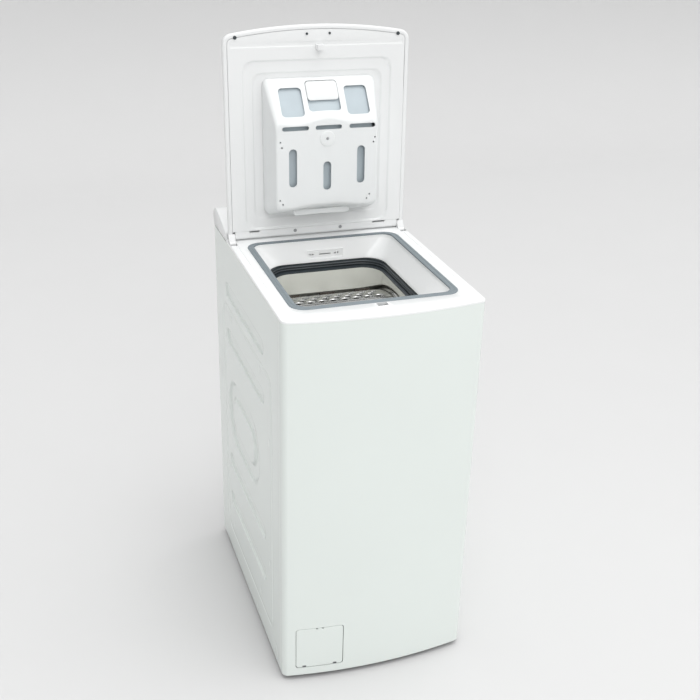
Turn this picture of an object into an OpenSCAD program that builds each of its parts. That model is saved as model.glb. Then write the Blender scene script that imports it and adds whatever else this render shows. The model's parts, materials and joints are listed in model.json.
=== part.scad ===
// Slim top-loading washing machine: sheet-steel cabinet, plastic top with a loading well,
// hinged lid that carries the detergent dispenser, sprung tub and a drum loaded through two
// flaps. Millimetres. X to the right, Y to the back, Z up; origin on the floor under the
// middle of the cabinet. The lid is drawn standing open, the drum flaps are shut.

/* [Cabinet] */
// Width over the side panels
body_w = 400; // [396:1:404]
// Depth of the sheet-steel cabinet, front bulge to back panel
cabinet_d = 592; // [590:1:596]
// Forward bulge of the front panel at its middle
front_bulge = 18.7; // [16:0.1:20]
// Radius of the upright front corners
corner_r = 14; // [10:1:18]
// Height of the cabinet's top edge
cabinet_top = 817; // [816:1:818]
// Height of the cabinet's bottom edge
cabinet_bottom = 12; // [10:1:14]
// Thickness of the sheet steel
sheet = 1.2; // [1:0.1:1.5]

/* [Worktop and well] */
// Height of the worktop's upper face
deck_top = 822; // [821:0.5:822]
// Depth of the lid seal's flat lip
seal_w = 14; // [12:1:15]
// Height where the well ends and the bellows begins
well_bottom = 773; // [771:1:775]

/* [Console] */
// Top of the console, the tallest part with the lid shut
console_top = 860; // [858:1:862]
// Slope of the control panel
panel_slope = 15; // [14:0.5:16]

/* [Lid] */
// Angle from shut to the stop
lid_open = 91.7; // [88:0.1:92]
// Thickness at the rim
lid_t = 15; // [14:1:16]
// Depth of the dispenser below the lid's inner face
dispenser_depth = 66; // [60:1:68]

/* [Tub and drum] */
// Inner radius of the tub
tub_r = 240; // [239:1:242]
// Outer radius of the drum
drum_r = 231; // [228:1:232]
// Length of the drum
drum_l = 256; // [250:1:258]
// Height of the drum's axis
drum_z = 501; // [500:1:502]
// Place of the drum's axis, front to back
drum_y = -16; // [-17:1:-15]

/* [Drive] */
// Radius of the drum pulley
pulley_r = 140; // [130:1:142]
// Radius of the motor pulley
motor_pulley_r = 10; // [9:0.5:11]

/* [Hidden] */
$fn = 96;

fit = 0.05;
eps = 0.01;
half_w = body_w / 2;
back_y = cabinet_d - 300;
console_back_y = 300;
seam_y = -262;
front_radius = (half_w * half_w + front_bulge * front_bulge) / (2 * front_bulge);
front_centre_y = front_radius - 300;
steel = "gainsboro";
white = "white";

// hinge of the lid and the inner face of the shut lid
hinge_y = 150;
hinge_z = 818;
lid_z = deck_top + 1.5;

// the loading well: mouth under the seal, and its lower end at the bellows
mouth_x = 154;
mouth_y = [-227, 126];
mouth_r = 22;
throat_x = 128;
throat_y = [-155, 115];
throat_r = 42;
neck_x = 120;
neck_y = [-148, 108];
neck_top = 754;
wall = 3;

// tub
tub_wall = 4;
tub_half = 142;
end_t = 4;
shaft_r = 15;
drum_wall = 1;
drum_half = drum_l / 2;
// half angle of the drum's loading opening
door_angle = 25;

// belt plane
belt_x0 = 158;
belt_x1 = 168;
motor_y = 120;
motor_z = 150;

// filter and pump line behind the service flap
filter_x = -124;
filter_z = 80;
flap_x = [-173, -75];
flap_z = [31, 130];
flap_t = 3;

foot_x = 165;
foot_y = [-235, 250];
foot_pad_r = 21;

// outline of the cabinet in plan, shrunk by an inset, closed off at y_back, with front
// corners of radius round_r before the inset
function cabinet_plan(inset, y_back, round_r = corner_r) =
    let (half = half_w - inset,
         big = front_radius - inset,
         small = round_r - inset,
         cx = half - small,
         cy = front_centre_y - sqrt(pow(big - small, 2) - cx * cx),
         turn = atan2(cx, front_centre_y - cy),
         corner = 6,
         front = 28)
    concat(
        [[half, y_back]],
        [for (i = [0:corner]) let (a = -i * (90 - turn) / corner)
            [cx + small * cos(a), cy + small * sin(a)]],
        [for (i = [1:front - 1]) let (a = -90 + turn - 2 * turn * i / front)
            [big * cos(a), front_centre_y + big * sin(a)]],
        [for (i = [0:corner]) let (a = -90 - turn - i * (90 - turn) / corner)
            [-cx + small * cos(a), cy + small * sin(a)]],
        [[-half, y_back]]);

// [c + a, c + b], the span of a piece about a middle value
function about(c, span) = [c + span[0], c + span[1]];
// a span of X as it is on the right, or its mirror image on the left
function on_side(s, x) = s > 0 ? x : [-x[1], -x[0]];

// ---------- shared shapes ----------

// rectangle with round corners, from [x0, x1] and [y0, y1]
module rounded(x, y, r) {
    translate([x[0] + r, y[0]]) square([x[1] - x[0] - 2 * r, y[1] - y[0]]);
    translate([x[0], y[0] + r]) square([x[1] - x[0], y[1] - y[0] - 2 * r]);
    for (cx = [x[0] + r, x[1] - r], cy = [y[0] + r, y[1] - r]) translate([cx, cy]) circle(r);
}

module rounded_plate(x, y, r, z) {
    translate([0, 0, z[0]]) linear_extrude(z[1] - z[0]) rounded(x, y, r);
}

module box(x, y, z) {
    translate([x[0], y[0], z[0]]) cube([x[1] - x[0], y[1] - y[0], z[1] - z[0]]);
}

module rod_x(x, y, z, r) {
    translate([x[0], y, z]) rotate([0, 90, 0]) cylinder(h = x[1] - x[0], r = r);
}
module rod_y(x, y, z, r, spin = 0) {
    translate([x, y[1], z]) rotate([90, spin, 0]) cylinder(h = y[1] - y[0], r = r);
}
module rod_z(x, y, z, r) {
    translate([x, y, z[0]]) cylinder(h = z[1] - z[0], r = r);
}

// stadium outline lying along the first axis
module stadium(a, b, r) {
    translate([a[0] + r, b - r]) square([a[1] - a[0] - 2 * r, 2 * r]);
    for (c = [a[0] + r, a[1] - r]) translate([c, b]) circle(r);
}

// prism with its outline in the Y-Z plane, between two X values
module prism_x(x) {
    translate([x[0], 0, 0]) rotate([90, 0, 90]) linear_extrude(x[1] - x[0]) children();
}

// outline in X-Z pushed along Y
module prism_y(y) {
    translate([0, y[1], 0]) rotate([90, 0, 0]) linear_extrude(y[1] - y[0]) children();
}

// tube of round section along a list of points, as one closed mesh
function unit(v) = v / norm(v);
function path_dir(p, i) =
    unit(p[min(i + 1, len(p) - 1)] - p[max(i - 1, 0)]);
function ring(c, d, r, sides, side_ref) =
    let (u = unit(cross(d, side_ref)), v = cross(u, d))
    [for (k = [0:sides - 1]) c + r * (cos(360 * k / sides) * u + sin(360 * k / sides) * v)];
module tube(p, r, sides, side_ref) {
    n = len(p);
    polyhedron(
        points = [for (i = [0:n - 1]) each ring(p[i], path_dir(p, i), r, sides, side_ref)],
        faces = concat(
            [[for (k = [sides - 1:-1:0]) k]],
            [for (i = [0:n - 2], k = [0:sides - 1]) let (q = (k + 1) % sides)
                each [[i * sides + k, i * sides + q, (i + 1) * sides + q],
                    [i * sides + k, (i + 1) * sides + q, (i + 1) * sides + k]]],
            [[for (k = [0:sides - 1]) (n - 1) * sides + k]]));
}

// smooth run between two points that leaves and arrives along the given directions
function bend(p, dp, q, dq, steps) =
    [for (i = [0:steps]) let (t = i / steps)
        pow(1 - t, 3) * p + 3 * pow(1 - t, 2) * t * (p + dp)
        + 3 * (1 - t) * t * t * (q - dq) + t * t * t * q];

// places a shut-lid part where it stands with the lid open
module open_lid() {
    translate([0, hinge_y, hinge_z]) rotate([-lid_open, 0, 0])
        translate([0, -hinge_y, -hinge_z]) children();
}

// frame on the sloping control panel: x across, y up the slope, z out of the face
panel_y = 218;
panel_z = 847.2;
module on_panel() { translate([0, panel_y, panel_z]) rotate([panel_slope, 0, 0]) children(); }

// ---------- cabinet ----------

// pressed recesses of a side panel, grown by g: four bars and a ring
module pressings(g) {
    for (z = [705, 597, 275, 168]) stadium([-140 - g, 186 + g], z, 15 + g);
}
module ring_pressing(g) {
    difference() {
        stadium([-96 - g, 184 + g], 423, 79 + g);
        stadium([-60 + g, 148 - g], 423, 43 - g);
    }
}
press = 3;

module side_panel() {
    color(steel) difference() {
        union() {
            box([half_w - sheet, half_w], [seam_y, back_y - sheet], [cabinet_bottom, cabinet_top]);
            prism_x([half_w - press - sheet, half_w - sheet]) {
                pressings(sheet);
                ring_pressing(sheet);
            }
            // turned-in edges: back and top
            box([half_w - 16, half_w], [back_y - 2 * sheet, back_y - sheet],
                [cabinet_bottom, cabinet_top]);
            box([half_w - 12, half_w], [176, back_y - sheet], [cabinet_top - sheet, cabinet_top]);
            // hangers for the suspension springs
            for (t = [-1, 1]) box([spring_x - 11, half_w - sheet / 2],
                about(drum_y + t * spring_dy, [-10, 10]), [spring_z[1], spring_z[1] + 3]);
        }
        prism_x([half_w - press, half_w + 1]) {
            pressings(0);
            ring_pressing(0);
        }
    }
}
module side_panel_right() { side_panel(); }
module side_panel_left() { mirror([1, 0, 0]) side_panel(); }

module front_panel() {
    color(steel) difference() {
        translate([0, 0, cabinet_bottom]) linear_extrude(cabinet_top - cabinet_bottom)
            difference() {
                polygon(cabinet_plan(0, seam_y));
                polygon(cabinet_plan(sheet, seam_y + 1));
            }
        prism_y([-310, -270]) rounded(flap_x + [-1, 1], flap_z + [-1, 1], 6);
    }
}

inlet_x = 140;
inlet_z = 715;
outlet_x = -150;
outlet_z = 120;
gland_z = 120;
cup_r = 31.2;
cup_hole_r = 18;
cup_y = 276;
transit = [[-70, 560], [70, 560], [0, 300]];
transit_r = 12;

module back_panel() {
    color(steel) difference() {
        union() {
            box([-192, 192], [back_y - sheet, back_y], [20, 808]);
            for (c = [[inlet_x, inlet_z], [outlet_x, outlet_z]])
                rod_y(c[0], [cup_y - sheet, back_y - sheet], c[1], cup_r + sheet);
        }
        for (c = [[inlet_x, inlet_z], [outlet_x, outlet_z]]) {
            rod_y(c[0], [cup_y, back_y + 1], c[1], cup_r);
            rod_y(c[0], [cup_y - 5, back_y], c[1], cup_hole_r);
        }
        rod_y(inlet_x, [280, 300], gland_z, 9);
        for (t = transit) rod_y(t[0], [280, 300], t[1], transit_r);
    }
}

module base_frame() {
    color("lightgray") {
        difference() {
            translate([0, 0, 14]) linear_extrude(38) difference() {
                polygon(cabinet_plan(sheet, back_y - 2 * sheet));
                polygon(cabinet_plan(sheet + wall, back_y - 2 * sheet - wall));
            }
            prism_y([-310, -262]) rounded(flap_x + [-6, 6], flap_z + [-12, 6], 7);
        }
        difference() {
            translate([0, 0, 14]) linear_extrude(wall)
                polygon(cabinet_plan(sheet + wall, back_y - 2 * sheet - wall));
            for (x = [-1, 1] * foot_x, y = foot_y) rod_z(x, y, [10, 20], 12);
        }
        // threaded bosses for the feet
        for (x = [-1, 1] * foot_x, y = foot_y) difference() {
            rod_z(x, y, [14, 48], 12);
            rod_z(x, y, [10, 50], 5 + fit);
        }
        // lugs for the service flap's pins
        at_flap_hinge() for (x = lug_x) difference() {
            union() {
                box([x - 3, x + 3], [-1, 14], [-2, 2.4]);
                box([x - 8, x + 8], [11, 14], [16 - flap_hinge_z, 2.4]);
            }
            rod_x([x - 5, x + 5], 0, 0, flap_pin_r + fit);
        }
        // cross rails that carry the dampers
        for (x = [-120, 120]) box([x - 18, x + 18], [drum_y - 46, drum_y - 2], [17, 34]);
    }
}

module levelling_foot(i) {
    color("dimgray") translate([[-1, 1][i % 2] * foot_x, foot_y[floor(i / 2)], 0]) {
        cylinder(h = 6, r = foot_pad_r);
        translate([0, 0, 6]) cylinder(h = 3, r1 = foot_pad_r, r2 = 9);
        translate([0, 0, 9]) cylinder(h = 35, r = 5);
    }
}

// ---------- top ----------

slot_x = [-9, 12];
slot_y = [-257, -243.5];
// spray window in the well's rear wall
spray_x = [-34, 46];
spray_z = [781, 799];
spray_mid_z = (spray_z[0] + spray_z[1]) / 2;

module worktop() {
    color(white) difference() {
        union() {
            difference() {
                translate([0, 0, cabinet_top]) linear_extrude(deck_top - cabinet_top)
                    polygon(cabinet_plan(0, 176));
                rounded_plate([-mouth_x, mouth_x], mouth_y, mouth_r, [800, 830]);
                // seat of the seal
                rounded_plate([-mouth_x - seal_w, mouth_x + seal_w],
                    [mouth_y[0] - seal_w, mouth_y[1] + 8], mouth_r + 8, [deck_top - 2, 830]);
            }
            // sloping well
            difference() {
                hull() {
                    rounded_plate([-mouth_x - wall, mouth_x + wall], mouth_y + [-wall, wall],
                        mouth_r + wall, [deck_top - 3, deck_top - 2], $fn = 32);
                    rounded_plate([-throat_x - wall, throat_x + wall], throat_y + [-wall, wall],
                        throat_r + wall, [well_bottom, well_bottom + 1], $fn = 32);
                }
                hull() {
                    rounded_plate([-mouth_x, mouth_x], mouth_y, mouth_r,
                        [deck_top - 3, deck_top], $fn = 32);
                    rounded_plate([-throat_x, throat_x], throat_y, throat_r,
                        [well_bottom - 1, well_bottom + 1], $fn = 32);
                }
            }
        }
        // slot for the lid hook, and the spray window in the rear wall
        box(slot_x, slot_y, [800, 830]);
        box(spray_x, [100, 135], spray_z);
        // pockets for the lid's knuckles and their brackets
        for (s = [-1, 1]) {
            box(on_side(s, [183.5, 198.5]), [130, 162], [800, 830]);
            box(on_side(s, [170, 184]), about(hinge_y, [-9, 9]), [800, 830]);
        }
    }
}

module lid_seal() {
    color("slategray") difference() {
        rounded_plate([-mouth_x - seal_w, mouth_x + seal_w],
            [mouth_y[0] - seal_w, mouth_y[1] + 8], mouth_r + 8, [deck_top - 2, deck_top + 1.2]);
        rounded_plate([-mouth_x, mouth_x], mouth_y, mouth_r, [800, 830]);
    }
}

module spray_nozzle() {
    color("whitesmoke") difference() {
        box(spray_x, [119, 140], spray_z);
        for (x = [-28, -22, 28, 34]) rod_y(x, [110, 130], spray_mid_z, 2);
        box([-8, 18], [110, 130], about(spray_mid_z, [-2, 1]));
    }
}

function slope_z(y) = panel_z + (y - panel_y) * tan(panel_slope);
// foot and head of the console's leaning back face
back_foot = [295, cabinet_top];
back_head = [console_back_y, 838];
back_slope = atan2(back_head[0] - back_foot[0], back_head[1] - back_foot[1]);
function back_face_y(z) = back_foot[0] + (z - back_foot[1]) * tan(back_slope);
console_points = [[176, cabinet_top], [176, slope_z(176) - 1.5], [181, slope_z(181)],
    [262, slope_z(262)], [272, console_top], [288, console_top - 3], [console_back_y, 846],
    back_head, back_foot];
console_hollow = [[179, 810], [179, slope_z(179) - 4.5], [182, slope_z(182) - 3.2],
    [262, slope_z(262) - 3.2], [272, console_top - 3.2], [287, console_top - 6.2], [297, 844],
    [297, 838], [292, 810]];

module console_housing() {
    color(white) difference() {
        prism_x([-half_w, half_w]) polygon(console_points);
        prism_x([-half_w + wall, half_w - wall]) polygon(console_hollow);
        on_panel() rounded_plate([-176, 176], [-33, 36], 6, [-10, 10]);
    }
}

knob_x = -92;
knob_r = 23;
button_w = 9;
option_x = [62, 92, 122];

module control_fascia() {
    color("whitesmoke") on_panel() difference() {
        rounded_plate([-175.7, 175.7], [-32.7, 35.7], 5.7, [-3.2, -0.2]);
        translate([knob_x, 0, -10]) cylinder(h = 20, r = 4 + fit);
        rounded_plate([-40, 30], [-14, 16], 3, [-10, 10]);
        for (x = [-150, 152]) translate([x, 0, -10]) cylinder(h = 20, r = button_w + 0.3);
        for (x = option_x) rounded_plate([x - 10.3, x + 10.3], [-10.3, -1.7], 3, [-10, 10]);
    }
}

module display_window() {
    color("black") on_panel() rounded_plate([-40, 30], [-14, 16], 3, [-3, -0.4]);
}

module control_board() {
    color("seagreen") on_panel() box([-160, 160], [-26, 28], [-13.6, -12]);
}

module program_knob() {
    color("silver") on_panel() translate([knob_x, 0, 0]) {
        translate([0, 0, 0.3]) cylinder(h = 9, r = knob_r);
        translate([0, 0, 9.3]) cylinder(h = 1.2, r1 = knob_r, r2 = knob_r - 1.2);
        translate([0, 0, -11]) cylinder(h = 11.4, r = 4);
    }
}

module round_button(x) {
    color("silver") on_panel() translate([x, 0, -8]) cylinder(h = 9.5, r = button_w);
}
module power_button() { round_button(-150); }
module start_button() { round_button(152); }

module option_button(i) {
    color("silver") on_panel()
        rounded_plate([option_x[i] - 10, option_x[i] + 10], [-10, -2], 2.7, [-8, 1.2]);
}

lock_x = [-34, 46];
bolt_y = -250;
bolt_z = [809, 814.5];
module lid_lock() {
    color("dimgray") difference() {
        box(lock_x, [seam_y, -236], [788, cabinet_top]);
        box([slot_x[0], slot_x[1]], [slot_y[0], slot_y[1]], [796, 830]);
        box([slot_x[1] - 1, 36], about(bolt_y, [-3.1, 3.1]), bolt_z + [-0.1, 0.1]);
    }
}

module lid_lock_bolt() {
    color("silver") box([slot_x[1] + 1, 24], about(bolt_y, [-3, 3]), bolt_z);
}

// ---------- water ----------

// room between the end of a hose and what it joins
hose_gap = 0.3;

// length of the inlet and outlet over which a nut or hose seats
spigot_y = [277, 297];

module inlet_valve() {
    color("whitesmoke") difference() {
        union() {
            rod_y(inlet_x, [cup_y - sheet, spigot_y[0]], inlet_z, 12.2);
            rod_y(inlet_x, spigot_y, inlet_z, 13.2);
            rod_y(inlet_x, [cup_y - sheet - 4, cup_y - sheet], inlet_z, 22);
            box([inlet_x - 15, inlet_x + 15], [236, cup_y - sheet - 4], [inlet_z - 14, inlet_z + 14]);
            rod_z(inlet_x, 250, [inlet_z + 14, inlet_z + 34], 6);
        }
        rod_y(inlet_x, [284, 300], inlet_z, 9);
    }
}

fill_path = concat(
    [[inlet_x, 250, inlet_z + 34 + hose_gap]],
    bend([inlet_x, 250, inlet_z + 38], [0, 0, 22], [70, 205, 792], [-30, -12, 0], 10),
    bend([70, 205, 792], [-25, -12, 0], [6, 145, spray_mid_z], [0, -30, 0], 9),
    [[6, 140 + hose_gap, spray_mid_z]]);
function drop_repeats(p) = [for (i = [0:len(p) - 1]) if (i == 0 || norm(p[i] - p[i - 1]) > 0.1) p[i]];

module fill_hose() {
    color("gray") tube(drop_repeats(fill_path), 7, 10, [0, 0.3, 1]);
}

module drain_spigot() {
    color("lightgray") difference() {
        union() {
            rod_y(outlet_x, [254, spigot_y[0]], outlet_z, 10);
            rod_y(outlet_x, spigot_y, outlet_z, 11);
            rod_y(outlet_x, [cup_y - sheet - 4, cup_y - sheet], outlet_z, 22);
        }
        rod_y(outlet_x, [250, 300], outlet_z, 8.5);
    }
}

drain_path = concat(
    [[-84 + hose_gap, -140, filter_z]],
    bend([-79, -140, filter_z], [22, 0, 0], [-78, -40, 45], [0, 40, 0], 9),
    bend([-78, -40, 45], [0, 90, 0], [outlet_x, 249, outlet_z], [0, 70, 0], 14),
    [[outlet_x, 254 - hose_gap, outlet_z]]);

module drain_hose() {
    color("gray") tube(drop_repeats(drain_path), 12, 12, [0.2, 0, 1]);
}

module drain_pump() {
    color("slategray") difference() {
        union() {
            rod_y(filter_x, [-262, -128], filter_z, 30, 135);
            rod_y(filter_x, [-128, -82], filter_z, 24, 135);
            rod_z(filter_x, -165, [filter_z + 20, filter_z + 45], 18);
            rod_x([-100, -84], -140, filter_z, 11);
            box([filter_x - 30, filter_x + 30], [-215, -140], [17, filter_z - 24]);
        }
        rod_y(filter_x, [-270, -140], filter_z, 26 + fit, 135);
        rod_z(filter_x, -165, [filter_z, filter_z + 50], 15);
    }
}

module filter_cap() {
    color("dimgray") {
        rod_y(filter_x, [-268, -225], filter_z, 26);
        rod_y(filter_x, [-270.5, -268], filter_z, 29);
        difference() {
            rod_y(filter_x, [-281, -270.5], filter_z, 19);
            for (s = [-1, 1]) box([filter_x - 30, filter_x + 30],
                [-285, -271], about(filter_z, (s > 0 ? [4, 30] : [-30, -4])));
        }
    }
}

// service flap: hinged along the chord of its lower outer edge
flap_mid_x = (flap_x[0] + flap_x[1]) / 2;
function front_y(x) = front_centre_y - sqrt(front_radius * front_radius - x * x);
flap_yaw = atan2(front_y(flap_x[1]) - front_y(flap_x[0]), flap_x[1] - flap_x[0]);
flap_hinge_z = flap_z[0] + flap_t / 2;
flap_hinge_y = (front_y(flap_x[0]) + front_y(flap_x[1])) / 2 - 0.5 + flap_t / 2;
flap_pin_r = 1.1;
lug_x = [-32, 32];

module at_flap_hinge() {
    translate([flap_mid_x, flap_hinge_y, flap_hinge_z]) rotate([0, 0, flap_yaw]) children();
}

module service_flap() {
    color(steel) {
        difference() {
            intersection() {
                translate([0, 0, flap_z[0]]) linear_extrude(flap_z[1] - flap_z[0]) difference() {
                    polygon(cabinet_plan(0, seam_y));
                    polygon(cabinet_plan(flap_t, seam_y + 1));
                }
                prism_y([-310, -262]) rounded(flap_x, flap_z, 6);
            }
            // finger notches in the upper edge, and notches for the hinge lugs
            for (x = [-8, 4]) box(about(flap_mid_x, [x, x + 4]), [-310, -280], [127.5, 140]);
            at_flap_hinge() for (x = lug_x) box([x - 4, x + 4], [-6, 6], [-3, 3.2]);
        }
        at_flap_hinge() for (x = lug_x) rod_x([x - 4.5, x + 4.5], 0, 0, flap_pin_r);
    }
}

module cable_gland() {
    color("dimgray") difference() {
        union() {
            rod_y(inlet_x, [280, 292], gland_z, 9 - fit);
            rod_y(inlet_x, [back_y, 298], gland_z, 12);
            rod_y(inlet_x, [284, back_y - sheet], gland_z, 12);
        }
        rod_y(inlet_x, [270, 305], gland_z, 4);
    }
}

module transit_plugs() {
    color("gray") for (t = transit) {
        rod_y(t[0], [back_y, back_y + 3], t[1], 16);
        rod_y(t[0], [284, back_y], t[1], transit_r - fit);
    }
}

// ---------- lid ----------

knuckle_x = [184, 197.5];
pin_r = 3;

module hinge_brackets() {
    color("gainsboro") for (s = [-1, 1]) {
        box(on_side(s, [170, 183.5]), about(hinge_y, [-9, 9]), [800, deck_top]);
        rod_x(on_side(s, [183, knuckle_x[1]]), hinge_y, hinge_z, pin_r);
    }
}

lid_half = 197.5;
lid_front = 6;
lid_back_y = hinge_y - 7;
// width of the cover's rim round the inner liner, and its corners before the inset
lid_rim = 9;
lid_corner = 26;
strip_half = 183;

// the strip along the hinge that closes the liner's rear edge
strip_y = [126, lid_back_y - 3];

module lid_outline(inset) {
    polygon(concat(
        [for (p = cabinet_plan(lid_front + inset, lid_back_y - inset, lid_corner))
            [p[0] * (lid_half - inset) / (half_w - lid_front - inset), p[1]]]));
}

module lid_outer() {
    color(white) open_lid() difference() {
        union() {
            translate([0, 0, lid_z]) linear_extrude(lid_t - 4) lid_outline(0);
            translate([0, 0, lid_z + lid_t - 4]) linear_extrude(2.5) lid_outline(1.5);
            translate([0, 0, lid_z + lid_t - 1.5]) linear_extrude(1.5) lid_outline(4);
            // knuckles at the two ends
            for (s = [-1, 1]) hull() {
                rod_x(on_side(s, knuckle_x), hinge_y, hinge_z, 5.5, $fn = 32);
                box(on_side(s, knuckle_x), [130, 142], [lid_z, lid_z + 8]);
            }
        }
        translate([0, 0, lid_z - 1]) linear_extrude(lid_t - 2) lid_outline(lid_rim);
        box([-strip_half, strip_half], strip_y, [lid_z - 1, lid_z + 7]);
        for (s = [-1, 1]) rod_x([s * 190 - 20, s * 190 + 20], hinge_y, hinge_z, pin_r + fit);
    }
}

// inner liner: a plate with two stepped, round-cornered recesses
module lid_inner() {
    color(white) open_lid() difference() {
        translate([0, 0, lid_z]) linear_extrude(7) difference() {
            lid_outline(lid_rim);
            translate([-half_w, strip_y[0]]) square([body_w, 40]);
        }
        rounded_plate([-158, 158], [hinge_y - 375, hinge_y - 28], 25, [lid_z - 1, lid_z + 2]);
        rounded_plate([-138, 138], [hinge_y - 351, hinge_y - 50], 22, [lid_z - 1, lid_z + 4]);
    }
}

strip_screw_x = 51;
module hinge_strip() {
    color(white) open_lid() difference() {
        box([-strip_half, strip_half], strip_y, [lid_z, lid_z + 7]);
        for (x = [-1, 1] * strip_screw_x) rod_z(x, 133, [lid_z - 1, lid_z + 1.2], 4);
    }
}

hook_y = (slot_y[0] + slot_y[1]) / 2;
module lid_hook() {
    color(white) open_lid() difference() {
        box([-6, 8], about(hook_y, [-5, 5]), [bolt_z[0] - 3.5, lid_z]);
        box([-2, 10], about(bolt_y, [-3.5, 3.5]), bolt_z + [-0.5, 0.5]);
    }
}

module lid_bumpers() {
    color("black") open_lid() {
        for (x = [-172, 172]) rod_z(x, hinge_y - 422, [deck_top + 0.2, lid_z], 3.6);
        for (x = [-24, 24]) rod_z(x, hinge_y - 426, [deck_top + 0.2, lid_z], 2.5);
    }
}

// ---------- dispenser: v runs from the hinge to the free edge, d is depth below the lid ----------

slant_v = [262, 338];
slant_d = [dispenser_depth, 10];
// half width at the lid and at the front face
dispenser_x = [118, 108];
slant = atan2(slant_d[0] - slant_d[1], slant_v[1] - slant_v[0]);
function vd(v, d) = [hinge_y - v, lid_z - d];
module on_slant() {
    translate([0, hinge_y - 300, lid_z - 38]) rotate([-slant, 0, 0]) children();
}
module dispenser_form(g) {
    intersection() {
        prism_x([g - dispenser_x[0], dispenser_x[0] - g]) polygon([vd(60 + g, -4 + g), vd(60 + g, 8),
            vd(79 + g, slant_d[0] - 5 - g), vd(84 + g, slant_d[0] - g),
            vd(slant_v[0] - g / 2, slant_d[0] - g), vd(slant_v[1] - g, slant_d[1] - g / 2),
            vd(340 - g, 8), vd(340 - g, -4 + g)]);
        prism_y([-200, 100]) polygon([[g - dispenser_x[0], lid_z + 4 - g],
            [g - dispenser_x[0], lid_z - 8], [g - dispenser_x[1], lid_z - dispenser_depth - 1],
            [dispenser_x[1] - g, lid_z - dispenser_depth - 1], [dispenser_x[0] - g, lid_z - 8],
            [dispenser_x[0] - g, lid_z + 4 - g]]);
    }
}
module slot_v(x, v, r) {
    translate([x, hinge_y - v[1], lid_z - dispenser_depth - 1]) linear_extrude(8)
        rounded([-r, r], [0, v[1] - v[0]], r - eps);
}

boss_v = 227;
module dispenser_body() {
    color(white) open_lid() difference() {
        union() {
            difference() {
                dispenser_form(0);
                dispenser_form(3);
                // refill windows and the opening round the release tab
                for (x = [[-92, -44], [47, 95]])
                    box(x, [hinge_y - 324, hinge_y - 275], [lid_z - 70, lid_z - 16]);
                on_slant() box([-33.5, 33.5], [-42.5, 24], [-4, 4.5]);
                for (x = [-73, 73]) slot_v(x, [130, 209], 8.5);
                slot_v(0, [120, 180], 8.5);
                for (x = [-95, -25, 47]) translate([x, hinge_y - 254.5, lid_z - dispenser_depth - 1])
                    linear_extrude(8) rounded([0, 56], [0, 9], 4);
            }
            // divider between the compartments, and the screw boss
            for (x = [-37, 35]) box([x, x + 2], [hinge_y - 270, hinge_y - 70], [lid_z - 64, lid_z]);
            rod_z(0, hinge_y - boss_v, [lid_z - dispenser_depth - 1.5, lid_z], 12);
            // finger lip under the front face
            box([-66, 55], [hinge_y - 75, hinge_y - 64], [lid_z - 45, lid_z - 38]);
        }
        rod_z(0, hinge_y - boss_v, [lid_z - dispenser_depth - 4, lid_z - 20], 3);
    }
}

module dispenser_tab() {
    color(white) open_lid() on_slant() {
        box([-33, 33], [-42, 0], [-1.5, 2]);
        box([-20, 20], [-42, -36], [-1.5, 6]);
    }
}

// ---------- suspended group ----------

tub_x = tub_half + end_t;
sump = [100, 50, 236];
outlet = [-60, drum_y];
// the heater's two legs, either side of the drum's mid-plane
heater_z = 248;
heater_dy = 18;

module neck(g, z) {
    rounded_plate([-neck_x - g, neck_x + g], neck_y + [-g, g], throat_r + g, z);
}

module tub_shell() {
    color("whitesmoke") difference() {
        union() {
            rod_x([-tub_half, tub_half], drum_y, drum_z, tub_r + tub_wall);
            neck(wall, [drum_z + 100, neck_top]);
            box([-sump[0], sump[0]], about(drum_y, [-sump[1], sump[1]]), [sump[2], 300]);
            rod_z(outlet[0], outlet[1], [214, sump[2] + 1], 18);
        }
        rod_x([-tub_half - 1, tub_half + 1], drum_y, drum_z, tub_r);
        neck(0, [drum_z + 100, neck_top + 1]);
        box([-sump[0] + 3, sump[0] - 3], about(drum_y, [3 - sump[1], sump[1] - 3]), [sump[2] + 3, 300]);
        rod_z(outlet[0], outlet[1], [210, 250], 15);
        for (s = [-1, 1]) rod_x([90, 110], drum_y + s * heater_dy, heater_z, 4.2);
    }
}

spring_x = 166;
spring_dy = 215;
spring_z = [606, 768];

module tub_end() {
    color("whitesmoke") difference() {
        union() {
            rod_x([tub_half, tub_x], drum_y, drum_z, tub_r + tub_wall);
            rod_x([133, 155], drum_y, drum_z, 42);
            for (a = [0:45:315]) translate([0, drum_y, drum_z]) rotate([a, 0, 0])
                box([tub_x, tub_x + 6], [-3, 3], [40, 225]);
            for (t = [-1, 1]) box([tub_x - 1, spring_x + 12],
                about(drum_y + t * spring_dy, [-10, 10]), [spring_z[0] - 14, spring_z[0]]);
        }
        rod_x([120, 170], drum_y, drum_z, shaft_r + fit);
    }
}
module tub_end_right() { tub_end(); }
module tub_end_left() { mirror([1, 0, 0]) tub_end(); }

module bellows() {
    color([0.1, 0.11, 0.12]) {
        difference() { neck(6, [neck_top, neck_top + 3]); neck(0, [neck_top - 1, neck_top + 4]); }
        difference() { neck(12, [neck_top + 3, well_bottom - 3]); neck(5, [neck_top, well_bottom]); }
        difference() {
            neck(12, [well_bottom - 3, well_bottom]);
            neck(8, [well_bottom - 4, well_bottom + 1]);
        }
    }
}

module counterweights() {
    color("gray") difference() {
        union() {
            box([-120, 120], [-276, -185], [640, 744]);
            box([-120, 120], [-272, -185], [262, 350]);
        }
        rod_x([-130, 130], drum_y, drum_z, tub_r + tub_wall);
    }
}

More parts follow.
